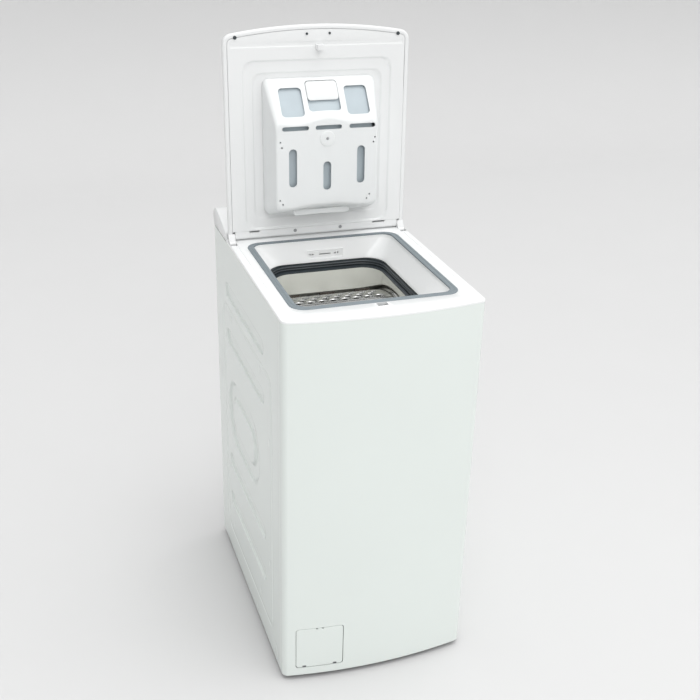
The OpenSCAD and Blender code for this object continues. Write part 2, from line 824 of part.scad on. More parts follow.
module heater() {
    color("silver") {
        for (s = [-1, 1]) rod_x([-70, 107], drum_y + s * heater_dy, heater_z, 4);
        translate([-70, drum_y, heater_z]) rotate([0, 0, 90])
            rotate_extrude(angle = 180) translate([heater_dy, 0]) circle(4);
        difference() {
            box([sump[0], sump[0] + 4], about(drum_y, [-28, 28]), [240, 256]);
            for (s = [-1, 1]) rod_x([90, 120], drum_y + s * heater_dy, heater_z, 4);
        }
    }
}

module motor() {
    color("dimgray") difference() {
        union() {
            rod_x([-55, 95], motor_y, motor_z, 58);
            rod_x([95, 104], motor_y, motor_z, 30);
            for (x = [-45, 65]) box([x, x + 20], about(motor_y, [-30, 30]), [motor_z, 320]);
        }
        rod_x([-200, 200], drum_y, drum_z, tub_r + tub_wall);
        rod_x([50, 120], motor_y, motor_z, 8 + fit);
    }
}

module motor_pulley() {
    color("silver") {
        rod_x([52, belt_x0 - 2], motor_y, motor_z, 8);
        rod_x([belt_x0 - 2, belt_x0], motor_y, motor_z, motor_pulley_r + 4);
        rod_x([belt_x0, belt_x1], motor_y, motor_z, motor_pulley_r);
        rod_x([belt_x1, belt_x1 + 2], motor_y, motor_z, motor_pulley_r + 4);
    }
}

module belt_loop(g) {
    hull() {
        translate([drum_y, drum_z]) circle(pulley_r + g);
        translate([motor_y, motor_z]) circle(motor_pulley_r + g);
    }
}
module drive_belt() {
    color([0.12, 0.12, 0.12]) prism_x([belt_x0 + 0.4, belt_x1 - 0.4]) difference() {
        belt_loop(2.8);
        belt_loop(0.3);
    }
}

module drum_pulley() {
    color("lightgray") difference() {
        union() {
            rod_x([belt_x0, belt_x1], drum_y, drum_z, pulley_r);
            rod_x([156, 174], drum_y, drum_z, 26);
        }
        for (x = [[belt_x0 - 1, belt_x0 + 3], [belt_x1 - 3, belt_x1 + 1]]) difference() {
            rod_x(x, drum_y, drum_z, pulley_r - 8);
            rod_x(x, drum_y, drum_z, 26);
        }
        for (a = [0:60:300]) translate([0, drum_y, drum_z]) rotate([a, 0, 0])
            rod_x([150, 180], 0, 80, 30);
        rod_x([150, 180], drum_y, drum_z, shaft_r);
    }
}

spring_turns = 10;
spring_step = 8;
module suspension_springs() {
    color("silver") for (x = [-spring_x, spring_x], t = [-1, 1])
        translate([x, drum_y + t * spring_dy, 0])
            tube([for (i = [0:spring_turns * spring_step]) let (a = 360 * i / spring_step,
                    f = i / (spring_turns * spring_step))
                [9 * cos(a), 9 * sin(a), spring_z[0] + 2 + f * (spring_z[1] - spring_z[0] - 4)]],
                1.8, 6, [0, 0, 1]);
}

damper_x = 120;
damper_y = drum_y - 24;
module damper_cylinders() {
    color("dimgray") for (x = [-damper_x, damper_x]) difference() {
        rod_z(x, damper_y, [34, 150], 14);
        rod_z(x, damper_y, [50, 151], 8 + fit);
    }
}
module damper_rods() {
    color("silver") difference() {
        for (x = [-damper_x, damper_x]) {
            rod_z(x, damper_y, [100, 250], 8);
            box([x - 12, x + 12], [damper_y - 14, damper_y + 14], [242, 270]);
        }
        rod_x([-140, 140], drum_y, drum_z, tub_r + tub_wall);
    }
}

sump_path = concat(
    [[filter_x, -165, filter_z + 45 + hose_gap]],
    bend([filter_x, -165, filter_z + 51], [0, 0, 40], [outlet[0], outlet[1], 208], [0, 0, 40], 14),
    [[outlet[0], outlet[1], 214 - hose_gap]]);
module sump_hose() { color([0.2, 0.2, 0.2]) tube(sump_path, 18, 14, [1, 0.3, 0]); }

// ---------- drum ----------

skin_r = drum_r - drum_wall;
opening_x = 114;
hinge_r = drum_r + 2.5;
knuckle_r = 2.2;
drum_pin_r = 1.1;
knuckles = [-80, 0, 80];
// half distance between the two brackets that hold a flap's knuckle
bracket_x = 13.5;

// wedge in the Y-Z plane between two angles from the top, positive towards the back
module wedge(a0, a1) {
    translate([drum_y, drum_z]) polygon([[0, 0],
        for (a = [a0:(a1 - a0) / 6:a1 + eps]) 300 * [sin(a), cos(a)]]);
}
// frame on a flap hinge: s = 1 front, -1 back; y runs along the skin towards the flap
module at_flap(s) {
    translate([0, drum_y, drum_z]) rotate([s * door_angle, 0, 0]) translate([0, 0, hinge_r])
        children();
}

module lifter(a) {
    translate([0, drum_y, drum_z]) rotate([a, 0, 0]) prism_x([-drum_half + 6, drum_half - 6])
        polygon([[-26, skin_r - 1], [-9, skin_r - 34], [9, skin_r - 34], [26, skin_r - 1]]);
}

module drum_shell() {
    color("silver") difference() {
        union() {
            difference() {
                union() {
                    rod_x([-drum_half, drum_half], drum_y, drum_z, drum_r);
                    for (s = [-1, 1]) rod_x(on_side(s, [drum_half - 6, drum_half]), drum_y, drum_z,
                        drum_r + 1.5);
                }
                rod_x([-drum_half + 1.5, drum_half - 1.5], drum_y, drum_z, skin_r);
                intersection() {
                    prism_x([-opening_x, opening_x]) wedge(-door_angle - 0.3, door_angle + 0.3);
                    rod_x([-opening_x, opening_x], drum_y, drum_z, drum_r + 5);
                }
            }
            for (a = [90, 180, 270]) intersection() {
                lifter(a);
                rod_x([-drum_half, drum_half], drum_y, drum_z, skin_r + eps);
            }
            rod_x([drum_half - 1, 172], drum_y, drum_z, shaft_r);
            rod_x([-152, 1 - drum_half], drum_y, drum_z, shaft_r);
            for (s = [-1, 1]) at_flap(s) for (x = knuckles, t = [-1, 1])
                box(about(x + t * bracket_x, [-3, 3]), s > 0 ? [-5, 2.2] : [-2.2, 5], [-3, 2.2]);
        }
        for (s = [-1, 1]) at_flap(s)
            rod_x([-100, 100], 0, 0, drum_pin_r + fit);
    }
}

latch_angle = 4;
module drum_door(s) {
    color("silver") difference() {
        union() {
            intersection() {
                prism_x([-opening_x + 1.5, opening_x - 1.5])
                    wedge(s > 0 ? -door_angle + 0.2 : 0.25, s > 0 ? -0.25 : door_angle - 0.2);
                difference() {
                    rod_x([-120, 120], drum_y, drum_z, drum_r);
                    rod_x([-121, 121], drum_y, drum_z, skin_r);
                    // room for the drum's brackets
                    at_flap(s) for (x = knuckles, t = [-1, 1])
                        box(about(x + t * bracket_x, [-3.4, 3.4]), [-4.5, 4.5], [-6, 6]);
                }
            }
            at_flap(s) for (x = knuckles) {
                rod_x([x - 9.8, x + 9.8], 0, 0, knuckle_r);
                box([x - 9.8, x + 9.8], s > 0 ? [0, 7] : [-7, 0], [-3, -0.6]);
                rod_x([x - 16, x + 16], 0, 0, drum_pin_r);
            }
        }
        if (s > 0) translate([0, drum_y, drum_z]) rotate([latch_angle, 0, 0])
            box([-22.4, 22.4], [-6.4, 6.4], [skin_r - 5, drum_r + 5]);
    }
}
module drum_door_front() { drum_door(1); }
module drum_door_rear() { drum_door(-1); }

module drum_door_latch() {
    color("gray") translate([0, drum_y, drum_z]) rotate([latch_angle, 0, 0])
        box([-22, 22], [-6, 6], [skin_r - 3, drum_r + 1.5]);
}

module panel_screws() {
    color("silver") {
        for (x = [-186, 186], z = [60, 240, 420, 600, 780])
            rod_y(x, [back_y, back_y + 2], z, 4);
        for (x = [-160, 0, 160]) translate([x, back_face_y(826) + 0.1, 826])
            rotate([-90 - back_slope, 0, 0]) cylinder(h = 1.2, r = 3.5);
    }
}

side_panel_left();
side_panel_right();
front_panel();
back_panel();
base_frame();
worktop();
lid_seal();
console_housing();
control_fascia();
display_window();
control_board();
program_knob();
power_button();
start_button();
option_button(0);  // option_button_1
option_button(1);  // option_button_2
option_button(2);  // option_button_3
lid_lock();
lid_lock_bolt();
spray_nozzle();
inlet_valve();
fill_hose();
drain_spigot();
drain_hose();
drain_pump();
filter_cap();
hinge_brackets();
service_flap();
cable_gland();
transit_plugs();
levelling_foot(0);  // levelling_foot_1
levelling_foot(1);  // levelling_foot_2
levelling_foot(2);  // levelling_foot_3
levelling_foot(3);  // levelling_foot_4
lid_outer();
lid_inner();
hinge_strip();
lid_hook();
lid_bumpers();
dispenser_body();
dispenser_tab();
bellows();
tub_shell();
tub_end_left();
tub_end_right();
counterweights();
heater();
motor();
motor_pulley();
drive_belt();
drum_pulley();
suspension_springs();
damper_cylinders();
damper_rods();
sump_hose();
drum_shell();
drum_door_front();
drum_door_rear();
drum_door_latch();
panel_screws();
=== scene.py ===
import json
import math

import bmesh
import bpy
import numpy as np
from mathutils import Matrix, Vector

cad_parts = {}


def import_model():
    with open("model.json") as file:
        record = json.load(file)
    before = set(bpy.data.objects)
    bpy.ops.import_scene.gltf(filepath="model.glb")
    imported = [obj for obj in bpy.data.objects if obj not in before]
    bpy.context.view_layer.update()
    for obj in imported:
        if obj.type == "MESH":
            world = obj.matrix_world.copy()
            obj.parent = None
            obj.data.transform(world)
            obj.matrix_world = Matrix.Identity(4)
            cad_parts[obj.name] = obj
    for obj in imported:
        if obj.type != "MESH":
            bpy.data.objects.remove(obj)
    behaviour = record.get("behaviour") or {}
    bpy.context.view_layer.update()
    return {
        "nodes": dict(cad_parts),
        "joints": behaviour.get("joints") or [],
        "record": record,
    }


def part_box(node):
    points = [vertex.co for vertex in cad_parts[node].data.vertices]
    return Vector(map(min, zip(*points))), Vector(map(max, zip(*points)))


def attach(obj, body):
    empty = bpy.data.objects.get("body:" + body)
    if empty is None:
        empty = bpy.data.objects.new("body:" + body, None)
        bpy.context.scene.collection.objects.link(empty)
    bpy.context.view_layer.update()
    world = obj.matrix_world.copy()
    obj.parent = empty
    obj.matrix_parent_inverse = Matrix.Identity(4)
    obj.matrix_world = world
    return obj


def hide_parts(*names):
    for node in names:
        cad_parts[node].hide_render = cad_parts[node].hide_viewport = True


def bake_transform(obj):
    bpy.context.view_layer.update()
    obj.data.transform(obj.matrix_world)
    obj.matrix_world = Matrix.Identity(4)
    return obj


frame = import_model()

# Everything below is worked out in millimetres, in the frame's own axes, and scaled once on the way in.
MM = 0.001


def span(node):
    """Lowest and highest corner of a CAD node, in millimetres."""
    low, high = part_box(node)
    return np.array(low) / MM, np.array(high) / MM


def joint(name):
    return next(j for j in frame["joints"] if j["name"] == name)


# ---------------------------------------------------------------- sizes, from the frame

front_low, front_high = span("front_panel")
side_low, side_high = span("side_panel_right")
deck_low, deck_high = span("worktop")
HALF_W = front_high[0]
FRONT_Y = front_low[1]
SEAM_Y = side_low[1]
BACK_Y = side_high[1]
BOTTOM = front_low[2]
TOP = front_high[2]
DECK = deck_high[2]
DECK_BACK = deck_high[1]
BULGE = 18.7
CORNER_R = 14.0
FRONT_R = (HALF_W**2 + BULGE**2) / (2 * BULGE)
FRONT_CY = FRONT_Y + FRONT_R
SHEET = 1.2

seal_low, seal_high = span("lid_seal")
SEAL_W = 14.0
MOUTH = (seal_low[0] + SEAL_W, seal_high[0] - SEAL_W, seal_low[1] + SEAL_W, seal_high[1] - 8)
MOUTH_R = 22.0
WELL_BOTTOM = deck_low[2]
bellows_low, bellows_high = span("bellows")
NECK_TOP = bellows_low[2]
BELLOWS_OUT = 12.0
NECK = (bellows_low[0] + BELLOWS_OUT, bellows_high[0] - BELLOWS_OUT,
        bellows_low[1] + BELLOWS_OUT, bellows_high[1] - BELLOWS_OUT)
THROAT = (NECK[0] - 8, NECK[1] + 8, NECK[2] - 7, NECK[3] + 7)
THROAT_R = 42.0

lid_joint = joint("lid_hinge")
HINGE = np.array(lid_joint["pos_m"]) / MM
LID_ANGLE = -lid_joint["range_deg"][0]
LID_Z = DECK + 1.5
LID_T = 15.0
LID_INSET = 6.0
LID_HALF = 197.5
LID_BACK = HINGE[1] - 7
LID_RIM = 9.0
LID_CORNER = 26.0

drum_joint = joint("drum_spin")
DRUM_Y = drum_joint["pos_m"][1] / MM
DRUM_Z = drum_joint["pos_m"][2] / MM
DRUM_R = 231.0
DRUM_HALF = 128.0
DOOR_ANGLE = 25.0
OPENING_X = 114.0

# From where a part of the shut lid lies to where it stands with the lid open.
OPEN_LID = (Matrix.Translation(Vector(HINGE)) @ Matrix.Rotation(math.radians(-LID_ANGLE), 4, "X")
            @ Matrix.Translation(-Vector(HINGE)))


# ---------------------------------------------------------------- outlines

def arc(cx, cy, r, a0, a1, steps):
    return [(cx + r * math.cos(math.radians(a)), cy + r * math.sin(math.radians(a)))
            for a in np.linspace(a0, a1, steps + 1)]


def plan(inset, y_back, half=HALF_W, corner_steps=8, front_steps=40, corner_r=CORNER_R):
    """Cabinet outline seen from above, right back corner round the front to left back corner."""
    big = FRONT_R - inset
    small = corner_r - min(inset, corner_r - 2)
    side = half - inset
    cx = side - small
    cy = FRONT_CY - math.sqrt((big - small) ** 2 - cx**2)
    turn = math.degrees(math.atan2(cx, FRONT_CY - cy))
    right = arc(cx, cy, small, 0, turn - 90, corner_steps)
    front = arc(0, FRONT_CY, big, turn - 90, -turn - 90, front_steps)[1:-1]
    left = arc(-cx, cy, small, -90 - turn, -180, corner_steps)
    return [(side, y_back)] + right + front + left + [(-side, y_back)]


def front_y(x, inset=0.0):
    return FRONT_CY - np.sqrt((FRONT_R - inset) ** 2 - np.square(x))


def rounded(x0, x1, y0, y1, r, steps=10, straight=8):
    """Rectangle with round corners, anticlockwise from the right side's lower end."""
    def side(a, b):
        return [tuple(a + (b - a) * t) for t in np.linspace(0, 1, straight + 1)[:-1]]
    pts = []
    corners = [((x1 - r, y1 - r), 0), ((x0 + r, y1 - r), 90), ((x0 + r, y0 + r), 180),
               ((x1 - r, y0 + r), 270)]
    here = np.array((x1, y0 + r))
    for (cx, cy), a in corners:
        bow = arc(cx, cy, r, a, a + 90, steps)
        pts += side(here, np.array(bow[0])) + bow[:-1]
        here = np.array(bow[-1])
    return pts


def grow(box, g):
    return (box[0] - g, box[1] + g, box[2] - g, box[3] + g)


def at(points, z):
    return [(p[0], p[1], z) for p in points]


def smooth(t):
    t = np.clip(t, 0, 1)
    return t * t * (3 - 2 * t)


# ---------------------------------------------------------------- mesh making

def outward(mesh, merge=False):
    """Turns every face outwards; merge also joins points that lie on each other."""
    work = bmesh.new()
    work.from_mesh(mesh)
    if merge:
        bmesh.ops.remove_doubles(work, verts=work.verts, dist=1e-6)
    bmesh.ops.recalc_face_normals(work, faces=work.faces)
    work.to_mesh(mesh)
    work.free()


def piece(name, shape, body, slot, replaces=(), surface=None, place=None, angle=40):
    """A finished mesh in the frame, riding on its body; surface is its slot's unless given."""
    verts, faces = shape
    mesh = bpy.data.meshes.new(name)
    mesh.from_pydata([tuple(v) for v in verts], [], [tuple(f) for f in faces])
    mesh.validate()
    if place is not None:
        mesh.transform(place)
    mesh.transform(Matrix.Scale(MM, 4))
    outward(mesh, merge=True)
    obj = bpy.data.objects.new(name, mesh)
    bpy.context.scene.collection.objects.link(obj)
    mesh.materials.append(M[surface or slot])
    shade(obj, angle)
    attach(obj, body)
    if replaces:
        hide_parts(*replaces)
    return obj


def bending(name, part, slot, node):
    """A piece between cabinet and tub, left in the frame and riding on no body."""
    verts, faces = part
    mesh = bpy.data.meshes.new(name)
    mesh.from_pydata([tuple(np.array(v) * MM) for v in verts], [], faces)
    outward(mesh)
    obj = bpy.data.objects.new(name, mesh)
    bpy.context.scene.collection.objects.link(obj)
    mesh.materials.append(M[slot])
    shade(obj, 70)
    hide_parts(node)
    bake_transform(obj)


def shade(obj, angle=40):
    obj.data.shade_smooth()
    obj.data.set_sharp_from_angle(angle=math.radians(angle))


def skin(rings, closed=True, cap_start=False, cap_end=False):
    """Quads between successive rings of the same number of points."""
    n = len(rings[0])
    verts = [p for ring in rings for p in ring]
    faces = []
    last = n if closed else n - 1
    for i in range(len(rings) - 1):
        for k in range(last):
            q = (k + 1) % n
            faces.append((i * n + k, i * n + q, (i + 1) * n + q, (i + 1) * n + k))
    if cap_start:
        faces.append(tuple(range(n)))
    if cap_end:
        faces.append(tuple((len(rings) - 1) * n + k for k in range(n)))
    return verts, faces


def join(parts):
    """Several (verts, faces) as one."""
    verts, faces = [], []
    for v, f in parts:
        base = len(verts)
        verts += [tuple(p) for p in v]
        faces += [tuple(i + base for i in g) for g in f]
    return verts, faces


def moved(part, matrix):
    verts, faces = part
    return [tuple(matrix @ Vector(v)) for v in verts], faces


def plate(outline, z0, z1, edge=0.6):
    """A flat plate with its outline in X-Y and softened edges, between two heights."""
    c = np.mean(outline, axis=0)
    pts = np.array(outline)
    away = pts - c
    shrink = c + away * (1 - edge / np.maximum(np.linalg.norm(away, axis=1, keepdims=True), edge))
    rings = [at(shrink, z0), at(pts, z0 + edge), at(pts, z1 - edge), at(shrink, z1)]
    return skin(rings, cap_start=True, cap_end=True)


def turned(profile, steps=48):
    """A solid of revolution about Z from (radius, height) points, closed at both ends."""
    rings = [[(r * math.cos(a), r * math.sin(a), z)
              for a in np.linspace(0, 2 * math.pi, steps, endpoint=False)] for r, z in profile]
    return skin(rings, cap_start=True, cap_end=True)


def cut(obj, cutters):
    """Cuts closed shapes, given as (verts, faces) in millimetres, out of a piece."""
    for verts, faces in cutters:
        mesh = bpy.data.meshes.new("cutter")
        mesh.from_pydata([tuple(v) for v in verts], [], [tuple(f) for f in faces])
        mesh.transform(Matrix.Scale(MM, 4))
        outward(mesh)
        tool = bpy.data.objects.new("cutter", mesh)
        bpy.context.scene.collection.objects.link(tool)
        modifier = obj.modifiers.new("cut", "BOOLEAN")
        modifier.object = tool
        modifier.operation = "DIFFERENCE"
        modifier.solver = "EXACT"
        apply_modifiers(obj)
        bpy.data.objects.remove(tool)
    shade(obj)


def apply_modifiers(obj):
    graph = bpy.context.evaluated_depsgraph_get()
    mesh = bpy.data.meshes.new_from_object(obj.evaluated_get(graph))
    obj.modifiers.clear()
    old = obj.data
    obj.data = mesh
    bpy.data.meshes.remove(old)


def block(x0, x1, y0, y1, z0, z1):
    return prism([(x0, y0), (x1, y0), (x1, y1), (x0, y1)], z0, z1)


def prism(outline, low, high):
    """A closed upright block with an outline in X-Y."""
    return skin([at(outline, z) for z in (low, high)], cap_start=True, cap_end=True)


def lying_prism(outline, near, far):
    """A closed block with an outline in X-Z, reaching from near to far along Y."""
    return skin([[(x, y, z) for x, z in outline] for y in (near, far)], cap_start=True, cap_end=True)


def sheet_grid(outer, inner):
    """A closed sheet from two grids of points with the same shape, rows by columns."""
    rows, cols = outer.shape[:2]
    n = rows * cols
    verts = np.concatenate([outer.reshape(n, 3), inner.reshape(n, 3)])
    r, c = np.meshgrid(np.arange(rows - 1), np.arange(cols - 1), indexing="ij")
    a = (r * cols + c).ravel()
    quads = np.stack([a, a + 1, a + cols + 1, a + cols], axis=1)
    faces = [tuple(q) for q in quads] + [tuple(q[::-1] + n) for q in quads]
    for k in range(cols - 1):
        faces.append((k + 1, k, k + n, k + 1 + n))
        b = (rows - 1) * cols + k
        faces.append((b, b + 1, b + 1 + n, b + n))
    for k in range(rows - 1):
        faces.append((k * cols, (k + 1) * cols, (k + 1) * cols + n, k * cols + n))
        b = k * cols + cols - 1
        faces.append((b + cols, b, b + n, b + cols + n))
    return verts.tolist(), faces


def ringed(rings):
    """A hoop whose section is closed: the last ring joins back to the first."""
    return skin(rings + [rings[0]])


def mix(a, b, t, z):
    """The ring a share t of the way from outline a to outline b, at a height."""
    return [(p[0] + (q[0] - p[0]) * t, p[1] + (q[1] - p[1]) * t, z) for p, q in zip(a, b)]


def fine_lines(low, high, step, edges, reach=4.5, fine=1.5):
    """Grid lines from low to high, closer together near the given values."""
    low, high = round(low, 3), round(high, 3)
    lines = set(np.round(np.linspace(low, high, int((high - low) / step) + 1), 3))
    for e in edges:
        lines |= set(np.round(np.arange(e - reach, e + reach + 0.01, fine), 3))
    lines = np.array(sorted(v for v in lines if low <= v <= high))
    keep = np.concatenate([[True], np.diff(lines) > 0.3])
    return lines[keep]


def off_stadium(y, z, y0, y1, zc, r):
    """Signed distance from a stadium lying along y: negative inside."""
    near = np.clip(y, y0 + r, y1 - r)
    return np.hypot(y - near, z - zc) - r


def off_rounded(x, y, x0, x1, y0, y1, r):
    """Signed distance from a rectangle with round corners."""
    dx = np.abs(x - (x0 + x1) / 2) - (x1 - x0) / 2 + r
    dy = np.abs(y - (y0 + y1) / 2) - (y1 - y0) / 2 + r
    return np.hypot(np.maximum(dx, 0), np.maximum(dy, 0)) + np.minimum(np.maximum(dx, dy), 0) - r


def pressed(off, width):
    """1 inside an outline, 0 outside, with a rounded wall of that width around its edge."""
    return smooth(0.5 - off / width)


# ---------------------------------------------------------------- materials

def socket(shader, name, value):
    shader.inputs[name].default_value = value


def finish(name, colour, rough, metal=0.0, shade_by=0.04, shade_size=0.06, grain=0.0, grain_size=0.001,
           stretch=(1, 1, 1), rough_by=0.05, coat=0.0, specular=0.5):
    """A surface with slow colour drift, fine grain in its gloss and relief; sizes in metres."""
    mat = bpy.data.materials.new(name)
    mat.use_nodes = True
    nodes, links = mat.node_tree.nodes, mat.node_tree.links
    nodes.clear()
    out = nodes.new("ShaderNodeOutputMaterial")
    shader = nodes.new("ShaderNodeBsdfPrincipled")
    links.new(shader.outputs["BSDF"], out.inputs["Surface"])
    socket(shader, "Metallic", metal)
    socket(shader, "Specular IOR Level", specular)
    socket(shader, "Coat Weight", coat)
    socket(shader, "Coat Roughness", 0.12)
    where = nodes.new("ShaderNodeTexCoord")

    drift = nodes.new("ShaderNodeTexNoise")
    drift.inputs["Scale"].default_value = 1 / shade_size
    drift.inputs["Detail"].default_value = 3
    links.new(where.outputs["Object"], drift.inputs["Vector"])
    tint = nodes.new("ShaderNodeMix")
    tint.data_type = "RGBA"
    dark = tuple(c * (1 - shade_by) for c in colour)
    light = tuple(min(1, c * (1 + shade_by)) for c in colour)
    tint.inputs[6].default_value = (*dark, 1)
    tint.inputs[7].default_value = (*light, 1)
    links.new(drift.outputs["Fac"], tint.inputs["Factor"])
    links.new(tint.outputs[2], shader.inputs["Base Color"])

    scale = nodes.new("ShaderNodeMapping")
    scale.inputs["Scale"].default_value = stretch
    links.new(where.outputs["Object"], scale.inputs["Vector"])
    fine = nodes.new("ShaderNodeTexNoise")
    fine.inputs["Scale"].default_value = 1 / grain_size
    fine.inputs["Detail"].default_value = 2
    links.new(scale.outputs["Vector"], fine.inputs["Vector"])
    gloss = nodes.new("ShaderNodeMapRange")
    gloss.inputs["To Min"].default_value = max(0.02, rough - rough_by)
    gloss.inputs["To Max"].default_value = min(1, rough + rough_by)
    links.new(fine.outputs["Fac"], gloss.inputs["Value"])
    links.new(gloss.outputs["Result"], shader.inputs["Roughness"])
    if grain:
        relief = nodes.new("ShaderNodeBump")
        relief.inputs["Strength"].default_value = 1
        relief.inputs["Distance"].default_value = grain
        links.new(fine.outputs["Fac"], relief.inputs["Height"])
        links.new(relief.outputs["Normal"], shader.inputs["Normal"])
    return mat


SURFACES = {
    "painted_steel": dict(colour=(0.79, 0.84, 0.81), rough=0.24, grain=2e-5, grain_size=0.0022,
                          shade_by=0.015, shade_size=0.25, coat=0.25),
    "white_plastic": dict(colour=(0.86, 0.87, 0.87), rough=0.30, grain=1e-5, grain_size=0.0012,
                          shade_by=0.012, shade_size=0.2, coat=0.15),
    "dispenser_plastic": dict(colour=(0.84, 0.86, 0.86), rough=0.34, grain=1e-5, grain_size=0.001,
                              shade_by=0.02, shade_size=0.1),
    "dispenser_inside": dict(colour=(0.50, 0.57, 0.61), rough=0.38, grain=1e-5, grain_size=0.001,
                             shade_by=0.06, shade_size=0.03),
    "control_panel": dict(colour=(0.74, 0.76, 0.77), rough=0.36, grain=1e-5, grain_size=0.0006,
                          shade_by=0.02),
    "display": dict(colour=(0.012, 0.014, 0.018), rough=0.12, rough_by=0.03, shade_by=0.1, coat=0.6),
    "circuit_board": dict(colour=(0.02, 0.16, 0.07), rough=0.45, shade_by=0.2, shade_size=0.01),
    "silver_plastic": dict(colour=(0.55, 0.56, 0.58), rough=0.32, metal=0.7, grain=6e-6,
                           grain_size=0.0005, shade_by=0.02),
    "seal_rubber": dict(colour=(0.20, 0.235, 0.255), rough=0.55, grain=3e-5, grain_size=0.0008,
                        shade_by=0.08, shade_size=0.02),
    "black_rubber": dict(colour=(0.040, 0.050, 0.056), rough=0.36, grain=4e-5, grain_size=0.0012,
                         shade_by=0.2, shade_size=0.02),
    "grey_rubber": dict(colour=(0.18, 0.19, 0.20), rough=0.6, grain=4e-5, grain_size=0.001,
                        shade_by=0.1, shade_size=0.03),
    "tub_plastic": dict(colour=(0.70, 0.71, 0.65), rough=0.30, grain=2e-5, grain_size=0.0015,
                        shade_by=0.06, shade_size=0.05),
    "grey_plastic": dict(colour=(0.20, 0.21, 0.22), rough=0.48, grain=3e-5, grain_size=0.0009,
                         shade_by=0.08, shade_size=0.03),
    "stainless": dict(colour=(0.60, 0.60, 0.59), rough=0.22, metal=1.0, grain=6e-6, grain_size=0.0012,
                      stretch=(0.08, 1, 1), shade_by=0.04, shade_size=0.03, rough_by=0.08),
    "zinc_steel": dict(colour=(0.58, 0.60, 0.62), rough=0.38, metal=0.9, shade_by=0.12,
                       shade_size=0.012, grain=1e-5, grain_size=0.004),
    "damper_steel": dict(colour=(0.42, 0.43, 0.44), rough=0.42, metal=0.9, shade_by=0.1,
                         shade_size=0.02),
    "ballast": dict(colour=(0.36, 0.35, 0.34), rough=0.85, grain=3e-4, grain_size=0.004, shade_by=0.18,
                    shade_size=0.012),
    "motor_metal": dict(colour=(0.30, 0.31, 0.32), rough=0.45, metal=0.8, shade_by=0.12,
                        shade_size=0.015),
    "pulley_metal": dict(colour=(0.60, 0.60, 0.61), rough=0.40, metal=0.9, grain=2e-5, grain_size=0.002,
                         shade_by=0.06),
    "brown_steel": dict(colour=(0.045, 0.035, 0.028), rough=0.5, metal=0.5, shade_by=0.25,
                        shade_size=0.01),
}
M = {name: finish(name, **look) for name, look in SURFACES.items()}
SLOTS = {row["node"]: row["material_slot"] for row in frame["record"]["subparts"]}

for node_name, slot_name in SLOTS.items():
    node = frame["nodes"][node_name]
    node.data.materials.clear()
    node.data.materials.append(M[slot_name])


# ---------------------------------------------------------------- cabinet sides

PRESS = 4.0
PRESS_WALL = 5.5
BARS = [705, 597, 275, 168]
BAR_Y = (-140, 186)
BAR_R = 15
RING_Z = 423
RING_OUT = (-96, 184, 79)
RING_IN = (-60, 148, 43)
BORDER = (-200, 219, 70, 665, 26)
DIMPLES = [(142, 649), (-110, 648), (225, 522), (-183, 520), (223, 231), (-180, 227), (161, 98),
           (-97, 97), (-65, 28)]
EMBOSS = (-224, 34, 15)


def side_depth(y, z):
    """How far the sheet is pressed in at a point of the side."""
    d = np.zeros_like(y)
    for zc in BARS:
        d = np.maximum(d, pressed(off_stadium(y, z, *BAR_Y, zc, BAR_R), PRESS_WALL))
    outer = pressed(off_stadium(y, z, RING_OUT[0], RING_OUT[1], RING_Z, RING_OUT[2]), PRESS_WALL)
    inner = pressed(off_stadium(y, z, RING_IN[0], RING_IN[1], RING_Z, RING_IN[2]), PRESS_WALL)
    d = np.maximum(d, np.minimum(outer, 1 - inner)) * PRESS
    crease = np.exp(-np.square(off_rounded(y, z, *BORDER) / 2.6))
    d = np.maximum(d, 0.9 * crease)
    for cy, cz in DIMPLES:
        d = np.maximum(d, 1.2 * pressed(np.hypot(y - cy, z - cz) - 4, 4))
    cy, cz, r = EMBOSS
    d = np.maximum(d, 0.9 * np.exp(-np.square((np.hypot(y - cy, z - cz) - r) / 2)))
    # the edge at the front seam rolls inward
    return d + 0.8 * np.square(np.clip(1 - (y - SEAM_Y) / 1.6, 0, 1))


def side_panel(name, sign):
    edges_z = [z + s * BAR_R for z in BARS for s in (-1, 1)]
    edges_z += [RING_Z + s * r for r in (RING_OUT[2], RING_IN[2]) for s in (-1, 1)] + [70, 665]
    zs = fine_lines(BOTTOM, TOP, 6, edges_z)
    ys = fine_lines(SEAM_Y, BACK_Y - SHEET, 4, [BORDER[0], BORDER[1], SEAM_Y + 1], fine=1.0)
    y, z = np.meshgrid(ys, zs)
    depth = side_depth(y, z)
    outer = np.stack([sign * (HALF_W - depth), y, z], axis=2)
    inner = np.stack([sign * (HALF_W - depth - SHEET), y, z], axis=2)
    a, b = sign * (HALF_W - 16), sign * (HALF_W - 0.1)
    fold = block(min(a, b), max(a, b), BACK_Y - 2 * SHEET, BACK_Y - SHEET, BOTTOM, TOP)
    shelf = block(min(sign * 188, b), max(sign * 188, b), 176, BACK_Y - SHEET, TOP - SHEET, TOP)
    hang_x = 155
    hangers = [block(min(sign * hang_x, b), max(sign * hang_x, b),
                     DRUM_Y + t - 10, DRUM_Y + t + 10, 768, 771) for t in (-215, 215)]
    shape = join([sheet_grid(outer, inner), fold, shelf] + hangers)
    piece(f"{name}_skin", shape, "cabinet", "painted_steel", [name])


side_panel("side_panel_right", 1)
side_panel("side_panel_left", -1)

# ---------------------------------------------------------------- front and its service flap

FLAP_X = (-173.0, -75.0)
FLAP_Z = (31.0, 130.0)
FLAP_GAP = 1.0


